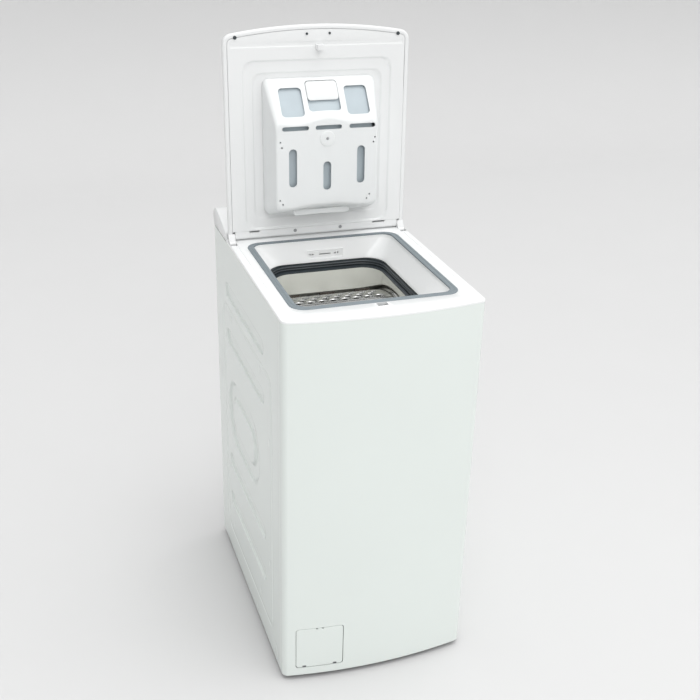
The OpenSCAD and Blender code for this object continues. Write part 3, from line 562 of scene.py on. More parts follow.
def front_panel():
    """Curved sheet from seam to seam, its upper and lower edges square."""
    loop = plan(0, SEAM_Y + 0.2) + plan(SHEET, SEAM_Y + 0.2)[::-1]
    heights = [BOTTOM, BOTTOM + 0.8] + list(np.linspace(BOTTOM + 60, TOP - 60, 12)) + [TOP - 0.8, TOP]
    rings = [at(loop, z) for z in heights]
    shape = skin(rings, cap_start=True, cap_end=True)
    panel = piece("front_panel_skin", shape, "cabinet", "painted_steel", ["front_panel"], angle=50)
    hole = rounded(FLAP_X[0] - FLAP_GAP, FLAP_X[1] + FLAP_GAP, FLAP_Z[0] - FLAP_GAP,
                   FLAP_Z[1] + FLAP_GAP, 6)
    cut(panel, [lying_prism(hole, -320, -255)])


front_panel()


def service_flap():
    """The flap's face follows the front's curve; its edge is rounded over."""
    outline = rounded(*FLAP_X, *FLAP_Z, 6, steps=8, straight=14)

    def ring(shrink, inset):
        cx, cz = sum(FLAP_X) / 2, sum(FLAP_Z) / 2
        hx, hz = (FLAP_X[1] - FLAP_X[0]) / 2, (FLAP_Z[1] - FLAP_Z[0]) / 2
        pts = [(cx + (x - cx) * (1 - shrink / hx), cz + (z - cz) * (1 - shrink / hz)) for x, z in outline]
        return [(x, float(front_y(x, inset)), z) for x, z in pts]

    thick = 3.0
    face = [ring(s, 0.0) for s in (46, 34, 22, 10, 4, 1.2)]
    edge = [ring(0.35, 0.25), ring(0, 0.9), ring(0, thick - 0.4), ring(0.5, thick)]
    back = [ring(s, thick) for s in (12, 26, 46)]
    shape = skin(face + edge + back, cap_start=True, cap_end=True)
    flap = piece("service_flap_skin", shape, "access_flap", "painted_steel", ["service_flap"], angle=50)
    mid = sum(FLAP_X) / 2
    notches = [block(mid + a, mid + a + 4, -320, -280, 127.5, 140) for a in (-8, 4)]
    notches += [block(mid + a - 4, mid + a + 4, -320, -270, 20, 35.7) for a in (-32, 32)]
    cut(flap, notches)


service_flap()

# ---------------------------------------------------------------- worktop and its well

CORNER_STEPS = 10
STRAIGHT = 16


def deck_ring(inset, z):
    """Worktop outline, point for point in the order of rounded()."""
    big, small, side = FRONT_R - inset, max(CORNER_R - inset, 2), HALF_W - inset
    cx = side - small
    cy = FRONT_CY - math.sqrt((big - small) ** 2 - cx**2)
    turn = math.degrees(math.atan2(cx, FRONT_CY - cy))
    back, r = DECK_BACK - inset, 2.0
    bows = [arc(side - r, back - r, r, 0, 90, CORNER_STEPS),
            arc(-side + r, back - r, r, 90, 180, CORNER_STEPS),
            arc(-cx, cy, small, 180, 270 - turn, CORNER_STEPS),
            arc(cx, cy, small, 270 + turn, 360, CORNER_STEPS)]
    front = arc(0, FRONT_CY, big, 270 - turn, 270 + turn, STRAIGHT)
    pts = []
    here = bows[3][-1]
    for k, bow in enumerate(bows):
        if k == 3:
            pts += front[:-1]
        else:
            pts += [tuple(np.array(here) + (np.array(bow[0]) - here) * t)
                    for t in np.linspace(0, 1, STRAIGHT + 1)[:-1]]
        pts += bow[:-1]
        here = bow[-1]
    return at(pts, z)


def frame_ring(box, r, z):
    return at(rounded(*box, r, steps=CORNER_STEPS, straight=STRAIGHT), z)


SEAT = (MOUTH[0] - SEAL_W, MOUTH[1] + SEAL_W, MOUTH[2] - SEAL_W, MOUTH[3] + 8)
SEAT_R = MOUTH_R + 8
WALL = 3.0


def well_ring(t, grown, z):
    """Between the mouth (t 0) and the throat (t 1)."""
    a = rounded(*grow(MOUTH, grown), MOUTH_R + grown, steps=CORNER_STEPS, straight=STRAIGHT)
    b = rounded(*grow(THROAT, grown), THROAT_R + grown, steps=CORNER_STEPS, straight=STRAIGHT)
    return mix(a, b, t, z)


def worktop():
    edge = 3.2
    rim = [deck_ring(edge * (1 - math.cos(a)), DECK - edge * (1 - math.sin(a)))
           for a in np.radians((0, 22, 45, 68, 90))]
    groove = [(12, 0), (13, 0.9), (15, 0.9), (16, 0)]
    outer = [deck_ring(0.15, TOP), deck_ring(0, TOP + 0.15)] + rim
    outer += [deck_ring(inset, DECK - deep) for inset, deep in groove]
    seat = [frame_ring(grow(SEAT, 0.8), SEAT_R + 0.8, DECK), frame_ring(SEAT, SEAT_R, DECK - 0.6),
            frame_ring(SEAT, SEAT_R, DECK - 2), well_ring(0, 0.6, DECK - 2)]
    lip = 4.0
    fall = DECK - 2 - lip
    well = [well_ring(0, 0, DECK - 2.6), well_ring(0.01, 0, fall)]
    well += [well_ring(0.01 + 0.95 * t, 0, fall + (WELL_BOTTOM + 3 - fall) * t)
             for t in np.linspace(0.08, 1, 8)]
    foot = [well_ring(0.985, 0.2, WELL_BOTTOM + 0.9), well_ring(0.985, 1.5, WELL_BOTTOM),
            well_ring(0.985, 2.8, WELL_BOTTOM + 0.9)]
    under = [well_ring(0.96, WALL, WELL_BOTTOM + 4), well_ring(0.02, WALL, TOP - 2.5),
             well_ring(0.02, WALL + 1, TOP)]
    shape = ringed(outer + seat + well + foot + under)
    top = piece("worktop_moulding", shape, "cabinet", "white_plastic", ["worktop"], angle=38)
    slot = rounded(-9, 12, -257, -243.5, 1.5, steps=3, straight=1)
    window = rounded(-34, 46, 781, 799, 3, steps=4, straight=1)
    cutters = [prism(slot, 805, 830), lying_prism(window, 105, 135)]
    for s in (-1, 1):
        a, b = sorted((s * 183.5, s * 198.5))
        c, d = sorted((s * 170, s * 184))
        cutters += [block(a, b, 130, 162, 805, 830), block(c, d, 141, 159, 805, 830)]
    cut(top, cutters)


worktop()


def lid_seal():
    """Soft lip round the well's mouth: two flat beads with a groove between them."""
    profile = [(0, -1.95), (0, 0.2), (0.05, 0.8), (0.14, 1.12), (0.36, 1.2), (0.43, 0.75), (0.47, 0.4),
               (0.51, 0.75), (0.58, 1.15), (0.86, 1.1), (0.95, 0.75), (1, 0.1), (1, -1.95)]
    o = rounded(*SEAT, SEAT_R, steps=CORNER_STEPS, straight=STRAIGHT)
    i = rounded(*MOUTH, MOUTH_R, steps=CORNER_STEPS, straight=STRAIGHT)
    shape = ringed([mix(o, i, t, DECK + h) for t, h in profile])
    piece("lid_seal_lip", shape, "cabinet", "seal_rubber", ["lid_seal"], angle=60)


lid_seal()


def bellows():
    """Folded rubber sleeve between the tub's neck and the well."""
    folds = [(0.2, 0.2), (0.2, 2.2), (5.2, 3.4), (9.6, 5.0), (5.6, 7.0), (5.6, 8.2), (9.9, 10.2),
             (6.0, 12.2), (6.0, 13.4), (9.6, 15.2), (8.2, 16.6), (8.2, 18.8), (11.8, 18.8), (11.8, 16.0),
             (11.2, 10.0), (11.6, 5.0), (6.0, 0.4)]
    rings = [frame_ring(grow(NECK, g), THROAT_R + g, NECK_TOP + h) for g, h in folds]
    bending("bellows_sleeve", ringed(rings), "black_rubber", "bellows")


bellows()

# ---------------------------------------------------------------- lid


def lid_ring(inset, z, front_steps=40):
    """Outline of the shut lid at a height."""
    pts = plan(LID_INSET + inset, LID_BACK - inset, corner_steps=12, front_steps=front_steps,
               corner_r=LID_CORNER)
    k = (LID_HALF - inset) / (HALF_W - LID_INSET - inset)
    back = LID_BACK - inset
    side = [(pts[0][0] * k, back - t * (back - pts[1][1])) for t in (0, 0.25, 0.5, 0.75)]
    body = [(x * k, y) for x, y in pts[1:-1]]
    other = [(-x, y) for x, y in reversed(side)]
    return at(side + body + other, z)


def lid_outer():
    """Cover with a rounded edge, a turned-in rim and two hinge arms."""
    r = 7.5
    shoulder = LID_Z + LID_T - r
    curve = [lid_ring(r * (1 - math.cos(math.radians(a))), shoulder + r * math.sin(math.radians(a)))
             for a in (0, 18, 36, 54, 72, 90)]
    top = [lid_ring(g, LID_Z + LID_T) for g in (20, 60)]
    rim = [(60, LID_T - 2), (LID_RIM, LID_T - 2), (LID_RIM, 1.2), (LID_RIM - 0.4, 0.3), (LID_RIM - 1.4, 0),
           (3.5, 0.1), (1.4, 0.8), (0.3, 2.4), (0, 4.5)]
    inside = [lid_ring(inset, LID_Z + h) for inset, h in rim]
    shell_top = skin(curve + top, cap_end=True)
    shell_in = skin(inside + [curve[0]], cap_start=True)
    parts = [shell_top, shell_in]
    for s in (-1, 1):
        x0, x1 = sorted((s * 184, s * 197.5))
        eye = [(HINGE[1] + 5.5 * math.cos(math.radians(a)), HINGE[2] + 5.5 * math.sin(math.radians(a)))
               for a in range(-170, 71, 20)]
        arm = eye + [(142, LID_Z + 8), (130, LID_Z + 8), (130, LID_Z)]
        parts.append(skin([[(x, y, z) for y, z in arm] for x in (x0, x1)], cap_start=True, cap_end=True))
    shape = moved(join(parts), OPEN_LID)
    cover = piece("lid_cover", shape, "lid", "white_plastic", ["lid_outer"], angle=32)
    cut(cover, [moved(block(-183.2, 183.2, 125.8, 140.2, LID_Z - 1, LID_Z + 7.2), OPEN_LID)])


lid_outer()

STRIP_V = 24.0
LINER_V = 440.0
FLAT_V = 375.0
LIP_V = 401, 412
RIB_V = 432
PAN_1 = (-158, 158, 28, 375, 25)
PAN_2 = (-138, 138, 50, 351, 22)


def lid_end_v(x, inset):
    """Distance from the hinge to the lid's free edge at x."""
    pts = np.array([(p[0], HINGE[1] - p[1]) for p in lid_ring(inset, 0, front_steps=80)])
    pts = pts[(pts[:, 1] > 300)]
    pts = pts[np.argsort(pts[:, 0])]
    return np.interp(x, pts[:, 0], pts[:, 1])


def liner_depth(x, v):
    """Height of the liner's face above its rim: two stepped pans, a groove and a shallow rib."""
    d = 2.4 * pressed(off_rounded(x, v, *PAN_1), 4) + 2.4 * pressed(off_rounded(x, v, *PAN_2), 4)
    inside = pressed(np.abs(x) - 183, 4)
    d += 1.0 * smooth((v - LIP_V[0]) / 3) * smooth((LIP_V[1] - v) / 3) * inside
    sweep = RIB_V - 20 * np.square(x / 180)
    d += 0.9 * np.exp(-np.square((v - sweep) / 1.3)) * inside
    return d


def lid_inner():
    """Liner with two stepped pans; past FLAT_V its rows stretch to follow the curved free edge."""
    half = LID_HALF - LID_RIM - 0.5
    pans_x = [*PAN_1[:2], *PAN_2[:2]]
    xs = fine_lines(-half, half, 7, pans_x + [-half + 2, half - 2], fine=1.2)
    vs = fine_lines(STRIP_V, LINER_V, 7, [PAN_1[2], PAN_2[2], PAN_2[3], PAN_1[3], 403, 411], fine=1.2)
    x, v = np.meshgrid(xs, vs)
    end = lid_end_v(x, LID_RIM + 0.5)
    v = np.where(v > FLAT_V, FLAT_V + (v - FLAT_V) * (end - FLAT_V) / (LINER_V - FLAT_V), v)
    deep = liner_depth(x, v)
    soft = 0.5 * np.square(np.clip(1 - (end - v) / 1.2, 0, 1)) + 0.5 * np.square(
        np.clip(1 - (half - np.abs(x)) / 1.2, 0, 1))
    face = np.stack([x, HINGE[1] - v, LID_Z + deep + soft], axis=2)
    back = np.stack([x, HINGE[1] - v, np.full_like(x, LID_Z + 7)], axis=2)
    shape = moved(sheet_grid(face, back), OPEN_LID)
    piece("lid_liner", shape, "lid", "white_plastic", ["lid_inner"], angle=60)


lid_inner()


STRIP_SCREWS = (-51, 51)


def hinge_strip():
    """Strip over the hinge, with gaps, steps and two screws."""
    outline = rounded(-183, 183, 126.4, LID_BACK - 3, 2, steps=3, straight=2)
    shape = moved(plate(outline, LID_Z + 0.1, LID_Z + 7, edge=0.5), OPEN_LID)
    strip = piece("hinge_strip_moulding", shape, "lid", "white_plastic", ["hinge_strip"], angle=40)
    gaps = [block(a, b, 120, 130, LID_Z - 1, LID_Z + 8) for a, b in ((-152, -130), (125, 154))]
    steps = [block(a, b, 133.2, 134, LID_Z - 1, LID_Z + 1) for a, b in ((-128, -112), (104, 122))]
    openings = [moved(shape, OPEN_LID) for shape in gaps + steps]
    seat = turned([(0.01, -1), (4, -1), (4, 1.2), (0.01, 1.2)], 24)
    places = [OPEN_LID @ Matrix.Translation((x, 133, LID_Z)) for x in STRIP_SCREWS]
    cut(strip, openings + [moved(seat, place) for place in places])
    head = turned([(0.01, 0.5), (2.2, 0.3), (3.4, 0.5), (3.7, 1.0), (3.7, 1.3), (0.01, 1.3)], 24)
    shape = join([moved(head, place) for place in places])
    piece("hinge_strip_screws", shape, "lid", "damper_steel", angle=40)


hinge_strip()

# ---------------------------------------------------------------- dispenser
# Its places are given as x, v from the hinge and d below the lid's underside.

SLANT_V = (262.0, 338.0)
SLANT_D = (66.0, 10.0)
SLANT = math.atan2(SLANT_D[0] - SLANT_D[1], SLANT_V[1] - SLANT_V[0])
ON_SLANT = Matrix.Translation((0, HINGE[1] - 300, LID_Z - 38)) @ Matrix.Rotation(-SLANT, 4, "X")
SCREW_V = 227
FACE_D = 66
WATER_HOLES = [(-99, 224), (-96, 213), (103, 225), (100, 215), (-101, 104), (-95, 95), (93, 105), (87, 96)]


def vd(x, v, d):
    return (x, HINGE[1] - v, LID_Z - d)


def dispenser_x(d):
    return float(np.interp(d, [-4, 8, 67], [118, 118, 108]))


def dispenser_v(d):
    low = float(np.interp(d, [-4, 8, 61, 66], [60, 60, 79, 84]))
    high = float(np.interp(d, [-4, 8, 10, 66], [340, 340, 338, 262]))
    return low, high


def dispenser_ring(d, inset, r, steps=8, straight=20):
    """Outline at depth d, its upper and lower edges waved where they meet the front face."""
    hx = dispenser_x(d) - inset
    low, high = dispenser_v(d)
    low, high = low + inset, high - inset
    middle = (low + high) / 2
    wave = float(smooth((d - 14) / 50))
    ring = []
    for x, v in rounded(-hx, hx, low, high, r, steps=steps, straight=straight):
        t = abs(v - middle) / (high - middle)
        if v > middle:
            lift = 7 * math.exp(-(x / 32) ** 2) - 3.5 * math.exp(-((abs(x) - 66) / 26) ** 2)
        else:
            lift = 6 * math.exp(-(x / 58) ** 4)
        ring.append(vd(x, v + wave * lift * t**3, d))
    return ring


def dispenser_shell(inset, deepest, edge):
    """Rings from the lid out to the front face, whose edge has a round of radius edge."""
    rings = [dispenser_ring(d, inset, 12) for d in (-3.9, 2, 8, 16, 26, 36, 46, deepest - edge - 3)]
    for a in (0, 15, 30, 45, 60, 75, 90):
        out = edge * (1 - math.cos(math.radians(a)))
        rings.append(dispenser_ring(deepest - edge + edge * math.sin(math.radians(a)), inset + out, 12))
    rings += [dispenser_ring(deepest, inset + edge + g, 12) for g in (12, 30)]
    return rings


def on_slant(u0, u1, x0, x1, r, low=-8, high=8):
    """A prism with a round-cornered outline on the slanted face, as a cutter."""
    return moved(prism(rounded(x0, x1, u0, u1, r, steps=6, straight=1), low, high), ON_SLANT)


def in_face(x0, x1, v0, v1, r, deep):
    """A round-cornered cutter into the front face, ending at depth deep."""
    outline = rounded(x0, x1, HINGE[1] - v1, HINGE[1] - v0, r, steps=8, straight=1)
    return prism(outline, LID_Z - 70, LID_Z - deep)


def slant_u(v):
    """Place along the slanted face of the line at distance v from the hinge."""
    return -(v - 300) / math.cos(SLANT)


def dispenser_case():
    """Outer shell with its windows, slots and water holes."""
    shell = dispenser_shell(3, 63, 3)[::-1] + dispenser_shell(0, FACE_D, 4)
    shape = moved(skin(shell, cap_start=True, cap_end=True), OPEN_LID)
    case = piece("dispenser_case", shape, "dispenser", "dispenser_plastic", ["dispenser_body"], angle=50)
    cutters = [on_slant(slant_u(324), slant_u(273), x, x + 48, 8) for x in (-92, 47)]
    cutters.append(on_slant(-44, 25, -34, 34, 8))
    cutters += [in_face(x - 8.5, x + 8.5, v0, v1, 8.4, 58)
                for x, v0, v1 in ((-73, 130, 209), (0, 120, 180), (73, 130, 209))]
    cutters += [in_face(x, x + 56, 245.5, 254.5, 4.4, 56) for x in (-95, -25, 47)]
    hole = turned([(0.01, -2), (1.9, -2), (1.9, 9), (0.01, 9)], 12)
    cutters += [moved(hole, Matrix.Translation(vd(x, v, FACE_D))) for x, v in WATER_HOLES]
    cut(case, [moved(shape, OPEN_LID) for shape in cutters])


def dispenser_trays():
    """Darker inside seen through the windows, with a pocket behind the release tab."""
    shape = moved(skin(dispenser_shell(9, 55, 4), cap_start=True, cap_end=True), OPEN_LID)
    trays = piece("dispenser_trays", shape, "dispenser", "dispenser_plastic",
                  surface="dispenser_inside", angle=50)
    cut(trays, [moved(on_slant(-47, -31, -25, 25, 3, low=-14, high=14), OPEN_LID)])


def dispenser_boss():
    """Screw boss in the middle of the face, its screw, and the lip along the upper edge."""
    centre = HINGE[1] - SCREW_V
    boss = turned([(0.01, -66.4), (3.2, -66.4), (3.6, -67.4), (12.5, -67.8), (15.4, -67.2),
                   (16.2, -65.6), (0.01, -65.6)], 40)
    ridge = rounded(-66, 55, HINGE[1] - 76, HINGE[1] - 64, 4, steps=5, straight=4)
    lip = plate(ridge, LID_Z - 45, LID_Z - 37, edge=1.6)
    shape = moved(join([moved(boss, Matrix.Translation((0, centre, LID_Z))), lip]), OPEN_LID)
    piece("dispenser_boss_and_lip", shape, "dispenser", "dispenser_plastic", angle=40)
    screw = turned([(0.01, 0.3), (1.0, 0.2), (2.8, 0.0), (3.1, 0.8), (0.01, 0.8)], 24)
    shape = moved(screw, OPEN_LID @ Matrix.Translation((0, centre, LID_Z - 66.8)))
    piece("dispenser_screw", shape, "dispenser", "damper_steel", angle=40)


dispenser_case()
dispenser_trays()
dispenser_boss()


def dispenser_tab():
    """Release tab on the slanted face, with a raised grip at its end."""
    outline = rounded(-33, 33, -42, 0, 7, steps=6, straight=6)
    rows = []
    for inset, z in ((1.2, -1.5), (0, -0.6), (0, 1.0), (0.6, 1.8), (2, 2.2)):
        rows.append([(x * (1 - inset / 33), -21 + (y + 21) * (1 - inset / 21), z) for x, y in outline])
    plate_part = skin(rows[::-1], cap_start=True, cap_end=True)
    grip = plate(rounded(-20, 20, -42, -36, 2.5, steps=4, straight=4), -1.4, 6, edge=1.0)
    shape = moved(join([plate_part, grip]), OPEN_LID @ ON_SLANT)
    piece("dispenser_tab_moulding", shape, "release_tab", "dispenser_plastic",
          ["dispenser_tab"], angle=45)


dispenser_tab()

# ---------------------------------------------------------------- console

console_low, console_high = span("console_housing")
knob_joint = joint("knob_turn")
PANEL_AT = np.array(knob_joint["pos_m"]) / MM
PANEL_SLOPE = math.atan2(-knob_joint["axis"][1], knob_joint["axis"][2])
ON_PANEL = Matrix.Translation((0, PANEL_AT[1], PANEL_AT[2])) @ Matrix.Rotation(PANEL_SLOPE, 4, "X")
PANEL = (-175.7, 175.7, -32.7, 35.7)
DISPLAY = (-40, 30, -14, 16)
ROUND_BUTTONS = {"power": -150, "start": 152}
BUTTON_R = 9.0
OPTION_X = [62, 92, 122]
DEEP = 12


def slope_z(y):
    return PANEL_AT[2] + (y - PANEL_AT[1]) * math.tan(PANEL_SLOPE)


def softened(points, r, steps=5):
    """A closed outline with its corners eased."""
    out = []
    for i in range(len(points)):
        p, q, s = (np.array(points[(i + k) % len(points)], float) for k in (-1, 0, 1))
        back, on = p - q, s - q
        reach = min(r, 0.45 * np.linalg.norm(back), 0.45 * np.linalg.norm(on))
        a = q + back / np.linalg.norm(back) * reach
        b = q + on / np.linalg.norm(on) * reach
        out += [tuple((1 - u)**2 * a + 2 * u * (1 - u) * q + u * u * b)
                for u in np.linspace(0, 1, steps + 1)]
    return out


def drawn_in(points, by):
    """A convex outline moved inwards."""
    pts = np.array(points)
    along = np.roll(pts, -1, axis=0) - np.roll(pts, 1, axis=0)
    along /= np.linalg.norm(along, axis=1, keepdims=True)
    normal = np.stack([-along[:, 1], along[:, 0]], axis=1)
    area = np.sum(pts[:, 0] * np.roll(pts[:, 1], -1) - np.roll(pts[:, 0], -1) * pts[:, 1])
    return pts + normal * by * math.copysign(1, area)


def console_housing():
    """Sloped tray behind the lid, with eased edges and closed ends."""
    top, back = console_high[2], console_high[1]
    outline = softened([(176, console_low[2]), (176, slope_z(176) - 1.5), (181, slope_z(181)),
                        (262, slope_z(262)), (272, top), (288, top - 3), (back, 846), (back, 838),
                        (295, console_low[2])], 5)
    ends = [(0, 1.6), (0.5, 0.6), (1.8, 0)]
    stations = [(e - HALF_W, d) for e, d in ends] + [(HALF_W - e, d) for e, d in reversed(ends)]
    rings = [[(x, y, z) for y, z in drawn_in(outline, d)] for x, d in stations]
    shape = skin(rings, cap_start=True, cap_end=True)
    housing = piece("console_shell", shape, "cabinet", "white_plastic", ["console_housing"], angle=35)
    recess = rounded(-176, 176, -33, 36, 6, steps=8, straight=1)
    cut(housing, [moved(prism(recess, -15, 12), ON_PANEL)])


def bore(x, r):
    """A round cutter through the panel."""
    return moved(turned([(0.01, -DEEP), (r, -DEEP), (r, DEEP), (0.01, DEEP)], 40),
                 Matrix.Translation((x, 0, 0)))


def control_fascia():
    """Grey face with its openings, and plain marks pressed round the dial and over the buttons."""
    shape = plate(rounded(*PANEL, 5.7, steps=8, straight=4), -3.2, -0.2, 0.6)
    face = piece("control_face", shape, "cabinet", SLOTS["control_fascia"],
                 ["control_fascia"], place=ON_PANEL, angle=35)
    holes = [bore(PANEL_AT[0], 4.3)] + [bore(x, BUTTON_R + 0.3) for x in ROUND_BUTTONS.values()]
    openings = [DISPLAY] + [(x - 10.3, x + 10.3, -10.3, -1.7) for x in OPTION_X]
    holes += [prism(rounded(*box, 3, steps=5, straight=1), -DEEP, DEEP) for box in openings]
    tick = block(-0.45, 0.45, 26.4, 29.6, -0.55, 3)
    ticks = [moved(tick, Matrix.Translation((PANEL_AT[0], 0, 0)) @ Matrix.Rotation(math.radians(a), 4, "Z"))
             for a in range(-150, 151, 25)]
    marks = [block(x - 3.5, x + 3.5, 3.6, 4.4, -0.55, 3) for x in OPTION_X]
    cut(face, [moved(h, ON_PANEL) for h in holes] + [moved(join(ticks + marks), ON_PANEL)])


def display_window():
    shape = plate(rounded(-39.9, 29.9, -13.9, 15.9, 3, steps=5, straight=2), -3, -0.4, 0.3)
    piece("display_glass", shape, "cabinet", SLOTS["display_window"],
          ["display_window"], place=ON_PANEL, angle=35)


def program_knob():
    """Dial with a fluted grip, a dished face and a pointer groove."""
    profile = [(0.01, -11), (4, -11), (4, 0.3), (22.3, 0.3), (23, 0.9), (23, 8.4), (22.5, 9.6), (21.4, 10.4),
               (20, 10.5), (17.5, 10.0), (0.01, 9.7)]
    flutes, depth, steps = 40, 0.45, 240
    rings = []
    for r, z in profile:
        grip = depth * (r > 22.9)
        rings.append([((r - grip * (0.5 - 0.5 * math.cos(flutes * a))) * math.cos(a),
                       (r - grip * (0.5 - 0.5 * math.cos(flutes * a))) * math.sin(a), z)
                      for a in np.linspace(0, 2 * math.pi, steps, endpoint=False)])
    shape = skin(rings, cap_start=True, cap_end=True)
    place = ON_PANEL @ Matrix.Translation((PANEL_AT[0], 0, 0))
    knob = piece("dial", shape, "knob", SLOTS["program_knob"], ["program_knob"], place=place, angle=35)
    cut(knob, [moved(block(-0.8, 0.8, 10, 21.6, 9.2, 12), place)])


def buttons():
    """Round keys with a dished top, and three long keys."""
    profile = [(0.01, -8), (BUTTON_R, -8), (BUTTON_R, 0.7), (BUTTON_R - 0.25, 1.25), (BUTTON_R - 0.9, 1.5),
               (BUTTON_R - 2.5, 1.4), (4, 1.0), (0.01, 0.9)]
    for body, x in ROUND_BUTTONS.items():
        shape = turned(profile, 64)
        node = body + "_button"
        piece(body + "_key", shape, body, SLOTS[node], [node],
              place=ON_PANEL @ Matrix.Translation((x, 0, 0)), angle=35)
    for i, x in enumerate(OPTION_X, 1):
        shape = plate(rounded(x - 10, x + 10, -10, -2, 2.7, steps=6, straight=2), -8, 1.2, 0.5)
        node = "option_button_%d" % i
        piece("option_key_%d" % i, shape, "option_%d" % i, SLOTS[node], [node], place=ON_PANEL, angle=35)


console_housing()
control_fascia()
display_window()
program_knob()
buttons()

# ---------------------------------------------------------------- back of the cabinet

back_low, back_high = span("back_panel")
BACK = back_high[1]
BACK_BEADS = [(200, 150), (242, 150), (370, 150), (412, 150), (454, 150), (640, 150), (772, 150)]
BEAD_R = 8.0
CUPS = [(140, 715), (-150, 120)]
CUP_R = 31.2
HOLES = [(140, 120, 9), (-70, 560, 12), (70, 560, 12), (0, 300, 12)]


def back_depth(x, z):
    d = np.zeros_like(x)
    for centre, half in BACK_BEADS:
        d = np.maximum(d, 2.6 * pressed(off_stadium(x, z, -half, half, centre, BEAD_R), 4))
    return d


def back_panel():
    """Steel sheet with pressed stiffening beads and the two recesses for the water connections."""
    bead_edges = [z + s * BEAD_R for z, _ in BACK_BEADS for s in (-1, 1)]
    zs = fine_lines(back_low[2], TOP, 14, bead_edges)
    xs = fine_lines(back_low[0], back_high[0], 14, [-146, 146], reach=6)
    z, x = np.meshgrid(zs, xs, indexing="ij")
    y = BACK - back_depth(x, z)
    outer = np.stack([x, y, z], axis=-1)
    inner = np.stack([x, y - SHEET, z], axis=-1)
    shape = sheet_grid(outer, inner)
    sheet = piece("back_sheet", shape, "cabinet", SLOTS["back_panel"], ["back_panel"], angle=50)
    to_back = Matrix.Rotation(math.radians(-90), 4, "X")
    cutters = []
    for cx, cz, r in [(*c, CUP_R) for c in CUPS] + HOLES:
        tool = turned([(0.01, -8), (r, -8), (r, 8), (0.01, 8)], 48)
        cutters.append(moved(tool, Matrix.Translation((cx, BACK, cz)) @ to_back))
    cut(sheet, cutters)
    section = [(18, -16), (18, -17.2), (CUP_R + 1.2, -17.2), (CUP_R + 1.2, -0.9), (CUP_R + 3.5, -0.9),
               (CUP_R + 3.5, 0.25), (CUP_R + 0.8, 0.25), (CUP_R, -0.6), (CUP_R, -14.5), (CUP_R - 1.5, -16)]
    steps = np.linspace(0, 2 * math.pi, 48, endpoint=False)
    hoop = ringed([[(r * math.cos(a), r * math.sin(a), h) for a in steps] for r, h in section])
    shape = join([moved(hoop, Matrix.Translation((cx, BACK, cz)) @ to_back) for cx, cz in CUPS])
    piece("connection_cups", shape, "cabinet", SLOTS["back_panel"], angle=40)


back_panel()

# ---------------------------------------------------------------- drum

TILE_W, TILE_H = 25.0, 17.6
WALL_T = 1.0
DIMPLE = [(8.4, 0.0), (7.8, -0.4), (6.9, -1.3), (6.1, -1.7)]
KNUCKLES = [-80, 0, 80]
KNUCKLE_R = 2.2
BRACKET_X = 13.5
PIN_R = 1.1
LATCH_ANGLE = 4.0
LATCH_SEAT = (Matrix.Translation((0, DRUM_Y, DRUM_Z))
              @ Matrix.Rotation(math.radians(LATCH_ANGLE), 4, "X"))


def patch(u0, u1, nu, v0, v1, nv):
    """A plain piece of sheet: outer and inner skin in (u, v, height)."""
    us, vs = np.linspace(u0, u1, nu + 1), np.linspace(v0, v1, nv + 1)
    verts, faces = [], []
    for h in (0.0, -WALL_T):
        base = len(verts)
        verts += [(u, v, h) for v in vs for u in us]
        for j in range(nv):
            for i in range(nu):
                a = base + j * (nu + 1) + i
                faces.append((a, a + 1, a + nu + 2, a + nu + 1))
    return verts, faces


def tile(u, v):
    """One holed dimple, in (u, v, height), its outline cut into sixteen."""
    hw, hh = TILE_W / 2, TILE_H / 2
    side = np.linspace(-1, 1, 5)[:-1]
    edge = ([(hw, hh * t) for t in side] + [(-hw * t, hh) for t in side]
            + [(-hw, -hh * t) for t in side] + [(hw * t, -hh) for t in side])
    angles = [math.atan2(y / hh, x / hw) for x, y in edge]
    rings = [[(u + x, v + y, 0.0) for x, y in edge]]
    rings += [[(u + r * math.cos(a), v + r * math.sin(a), h) for a in angles] for r, h in DIMPLE]
    rings += [[(x, y, h - WALL_T) for x, y, h in ring] for ring in reversed(rings)]
    return skin(rings)


def edge_wall(points):
    """The cut edge of the sheet along a run of (u, v) points."""
    verts = [(u, v, h) for h in (0.0, -WALL_T) for u, v in points]
    n = len(points)
    return verts, [(i, i + 1, i + 1 + n, i + n) for i in range(n - 1)]


def perforated(half_u, cols, v0, v1, rows):
    """A sheet with staggered rows of holed dimples and plain margins, in (u, v, height)."""
    tiled_u = cols * TILE_W / 2
    start_v = (v0 + v1) / 2 - rows * TILE_H / 2
    seg = TILE_W / 4
    parts = []
    lines_v = [v0, start_v]
    for row in range(rows):
        low = start_v + row * TILE_H
        lines_v += list(low + TILE_H * np.linspace(0.25, 1, 4))
        shift = TILE_W / 2 if row % 2 else 0
        centres = np.arange(-tiled_u + TILE_W / 2 + shift, tiled_u - 1, TILE_W)
        parts += [tile(u, low + TILE_H / 2) for u in centres if u + TILE_W / 2 <= tiled_u + 0.1]
        if shift:
            parts += [patch(a, a + shift, 2, low, low + TILE_H, 4) for a in (-tiled_u, tiled_u - shift)]
        parts += [patch(a, b, 1, low, low + TILE_H, 4)
                  for a, b in ((-half_u, -tiled_u), (tiled_u, half_u))]
    lines_v.append(v1)
    end_v = start_v + rows * TILE_H
    for a, b in ((v0, start_v), (end_v, v1)):
        parts += [patch(-tiled_u, tiled_u, 4 * cols, a, b, 1), patch(-half_u, -tiled_u, 1, a, b, 1),
                  patch(tiled_u, half_u, 1, a, b, 1)]
    lines_u = [-half_u, *np.arange(-tiled_u, tiled_u + seg / 2, seg), half_u]
    parts += [edge_wall([(u, v) for u in lines_u]) for v in (v0, v1)]
    parts += [edge_wall([(u, v) for v in lines_v]) for u in (-half_u, half_u)]
    return join(parts)


